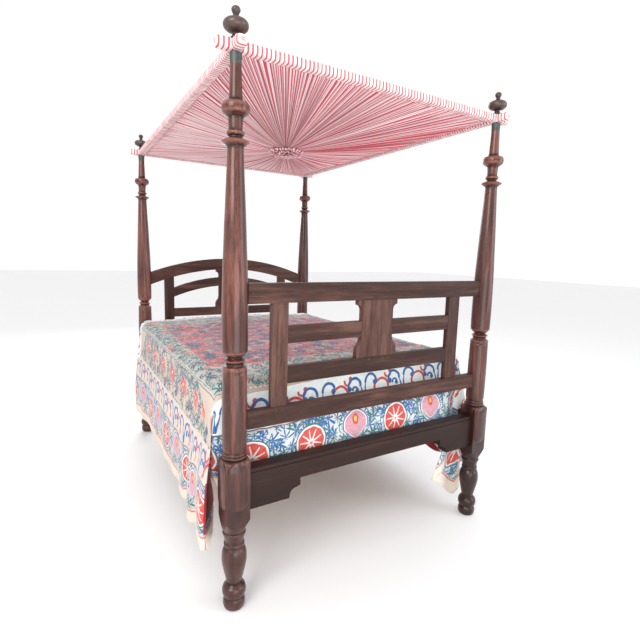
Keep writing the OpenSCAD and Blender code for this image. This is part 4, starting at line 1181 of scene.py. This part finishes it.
def make_band(place_name, material):
    """One side of the canopy's frame, wrapped in gathered striped cloth."""
    low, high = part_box("canopy_band_" + place_name)
    run = 0 if high.x - low.x > high.y - low.y else 1
    size, middle = high - low, (high + low) / 2
    length = size[run]
    half_w, half_h = size[1 - run] / 2, size.z / 2
    rings = int(length / 0.006)
    sides = 28
    seed = ("foot", "head", "left", "right").index(place_name)
    # the cloth is tucked round the ends of its rail
    s = np.linspace(-WRAP_END, length + WRAP_END, rings + 1)
    points, flat, folds = [], [], []
    angle = TAU * np.arange(sides + 1) / sides
    pucker = ripple(s * 5.5, 40 + seed) * 0.5 + ripple(s * 11, 50 + seed) * 0.5
    for k, here in enumerate(s):
        from_end = min(here, length - here) + WRAP_END
        closing = 0.30 + 0.70 * math.sqrt(max(0.0, 1 - max(0.0, 1 - from_end / 0.016) ** 2))
        shift = 0.4 * np.sin(angle * 2 + here * 21 + seed)
        local = 0.5 + 0.5 * np.sin(TAU * here / 0.0135 + shift * 3 + pucker[k] * 2)
        shrink = 1 - 0.075 * local * (0.6 + 0.4 * np.sin(angle + here * 3)) - 0.02 * (1 + pucker[k]) / 2
        power = 0.5
        ca, sa = np.cos(angle), np.sin(angle)
        across = np.sign(ca) * np.abs(ca) ** power * half_w * shrink * closing
        up = np.sign(sa) * np.abs(sa) ** power * half_h * shrink * closing
        ring = np.zeros((sides + 1, 3))
        ring[:, run] = middle[run] - length / 2 + here
        ring[:, 1 - run] = middle[1 - run] + across
        ring[:, 2] = middle.z + up
        points.append(ring)
        girth = angle / TAU * 2 * (size[1 - run] + size.z)
        flat.append(np.stack([np.full(sides + 1, here + WRAP_END), girth], -1))
        # painted shade: darker in the hollows of the puckers
        folds.append(0.25 + local * 0.45)
    points = np.concatenate(points)
    flat = np.concatenate(flat)
    folds = np.concatenate(folds)
    across_count = sides + 1
    faces = []
    for k in range(rings):
        for j in range(sides):
            a = k * across_count + j
            faces.append((a, a + 1, a + across_count + 1, a + across_count))
    mesh = bpy.data.meshes.new("canopy_band_wrap_" + place_name)
    mesh.from_pydata(points.tolist(), [], faces)
    flat_map(mesh, flat)
    set_attribute(mesh, "fold", folds)
    shape = bmesh.new()
    shape.from_mesh(mesh)
    bmesh.ops.remove_doubles(shape, verts=shape.verts, dist=0.00001)
    bmesh.ops.holes_fill(shape, edges=[e for e in shape.edges if e.is_boundary], sides=0)
    bmesh.ops.recalc_face_normals(shape, faces=shape.faces)
    shape.to_mesh(mesh)
    shape.free()
    mesh.materials.append(material)
    piece = new_piece("canopy_band_wrap_" + place_name, mesh)
    thickened(piece, 0.001)
    finish_piece(piece, "canopy", "canopy_band", "canopy_band_" + place_name)


def make_rosette():
    """Rings of small ruffles that hide where the pleats meet."""
    low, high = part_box("canopy_rosette")
    limit, thick = high.x, high.z - low.z
    points, faces, flat, folds = [], [], [], []
    ruffles = ((0.66, 0.97, 21), (0.50, 0.86, 18), (0.34, 0.70, 15), (0.18, 0.52, 11), (0.02, 0.34, 7))
    for ring, (inner, outer, lobes) in enumerate(ruffles):
        columns, rows = lobes * 10, 6
        start = len(points)
        for row in range(rows):
            t = row / (rows - 1)
            for k in range(columns):
                a = TAU * k / columns
                lobe = math.sin(a * lobes + ring * 1.3 + 0.8 * math.sin(a * 5 + ring))
                curl = math.sin(a * lobes * 0.5 + 2.1 * ring)
                r = limit * (inner + (outer - inner) * t) * (1 + 0.035 * curl * t) + 0.005 * lobe * t
                droop = 1.0 if ring == 0 else 0.72
                sink = thick * (0.04 + 0.50 * math.sin(math.pi * t * droop) + 0.14 * t * (1 + lobe))
                sink += thick * (0.17 * ring + 0.08 * math.sin(a * 3 + ring * 2.0) * min(ring, 1))
                points.append((r * math.cos(a + 0.05 * curl * t), r * math.sin(a + 0.05 * curl * t),
                               high.z + 0.004 - min(sink, thick * 1.3)))
                flat.append((a * 0.085 * 1.6, 0.04 * ring + 0.04 * t))
                # painted shade: darker under each ruffle's inner edge and in its troughs
                folds.append(0.50 * (1 - t) ** 2 + 0.30 * max(0.0, -lobe) * t)
        for row in range(rows - 1):
            for k in range(columns):
                a, b = start + row * columns + k, start + row * columns + (k + 1) % columns
                faces.append((a, b, b + columns, a + columns))
    mesh = bpy.data.meshes.new("canopy_rosette_ruffles")
    mesh.from_pydata(points, [], faces)
    flat_map(mesh, np.array(flat))
    set_attribute(mesh, "fold", folds)
    mesh.materials.append(striped_cloth("rosette_stripe", 0.45, STRIPE_PITCH))
    piece = new_piece("canopy_rosette_ruffles", mesh)
    thickened(piece, 0.0006)
    finish_piece(piece, "canopy", "canopy_rosette", "canopy_rosette")


def make_canopy():
    make_canopy_cloth()
    wrap = striped_cloth("band_stripe", 0.40, STRIPE_PITCH, (0.56, 0.11, 0.10))
    for place_name in ("foot", "head", "left", "right"):
        make_band(place_name, wrap)
    make_rosette()


make_camera()
make_studio()
make_woodwork()
make_mattress()
make_coverlet()
make_canopy()
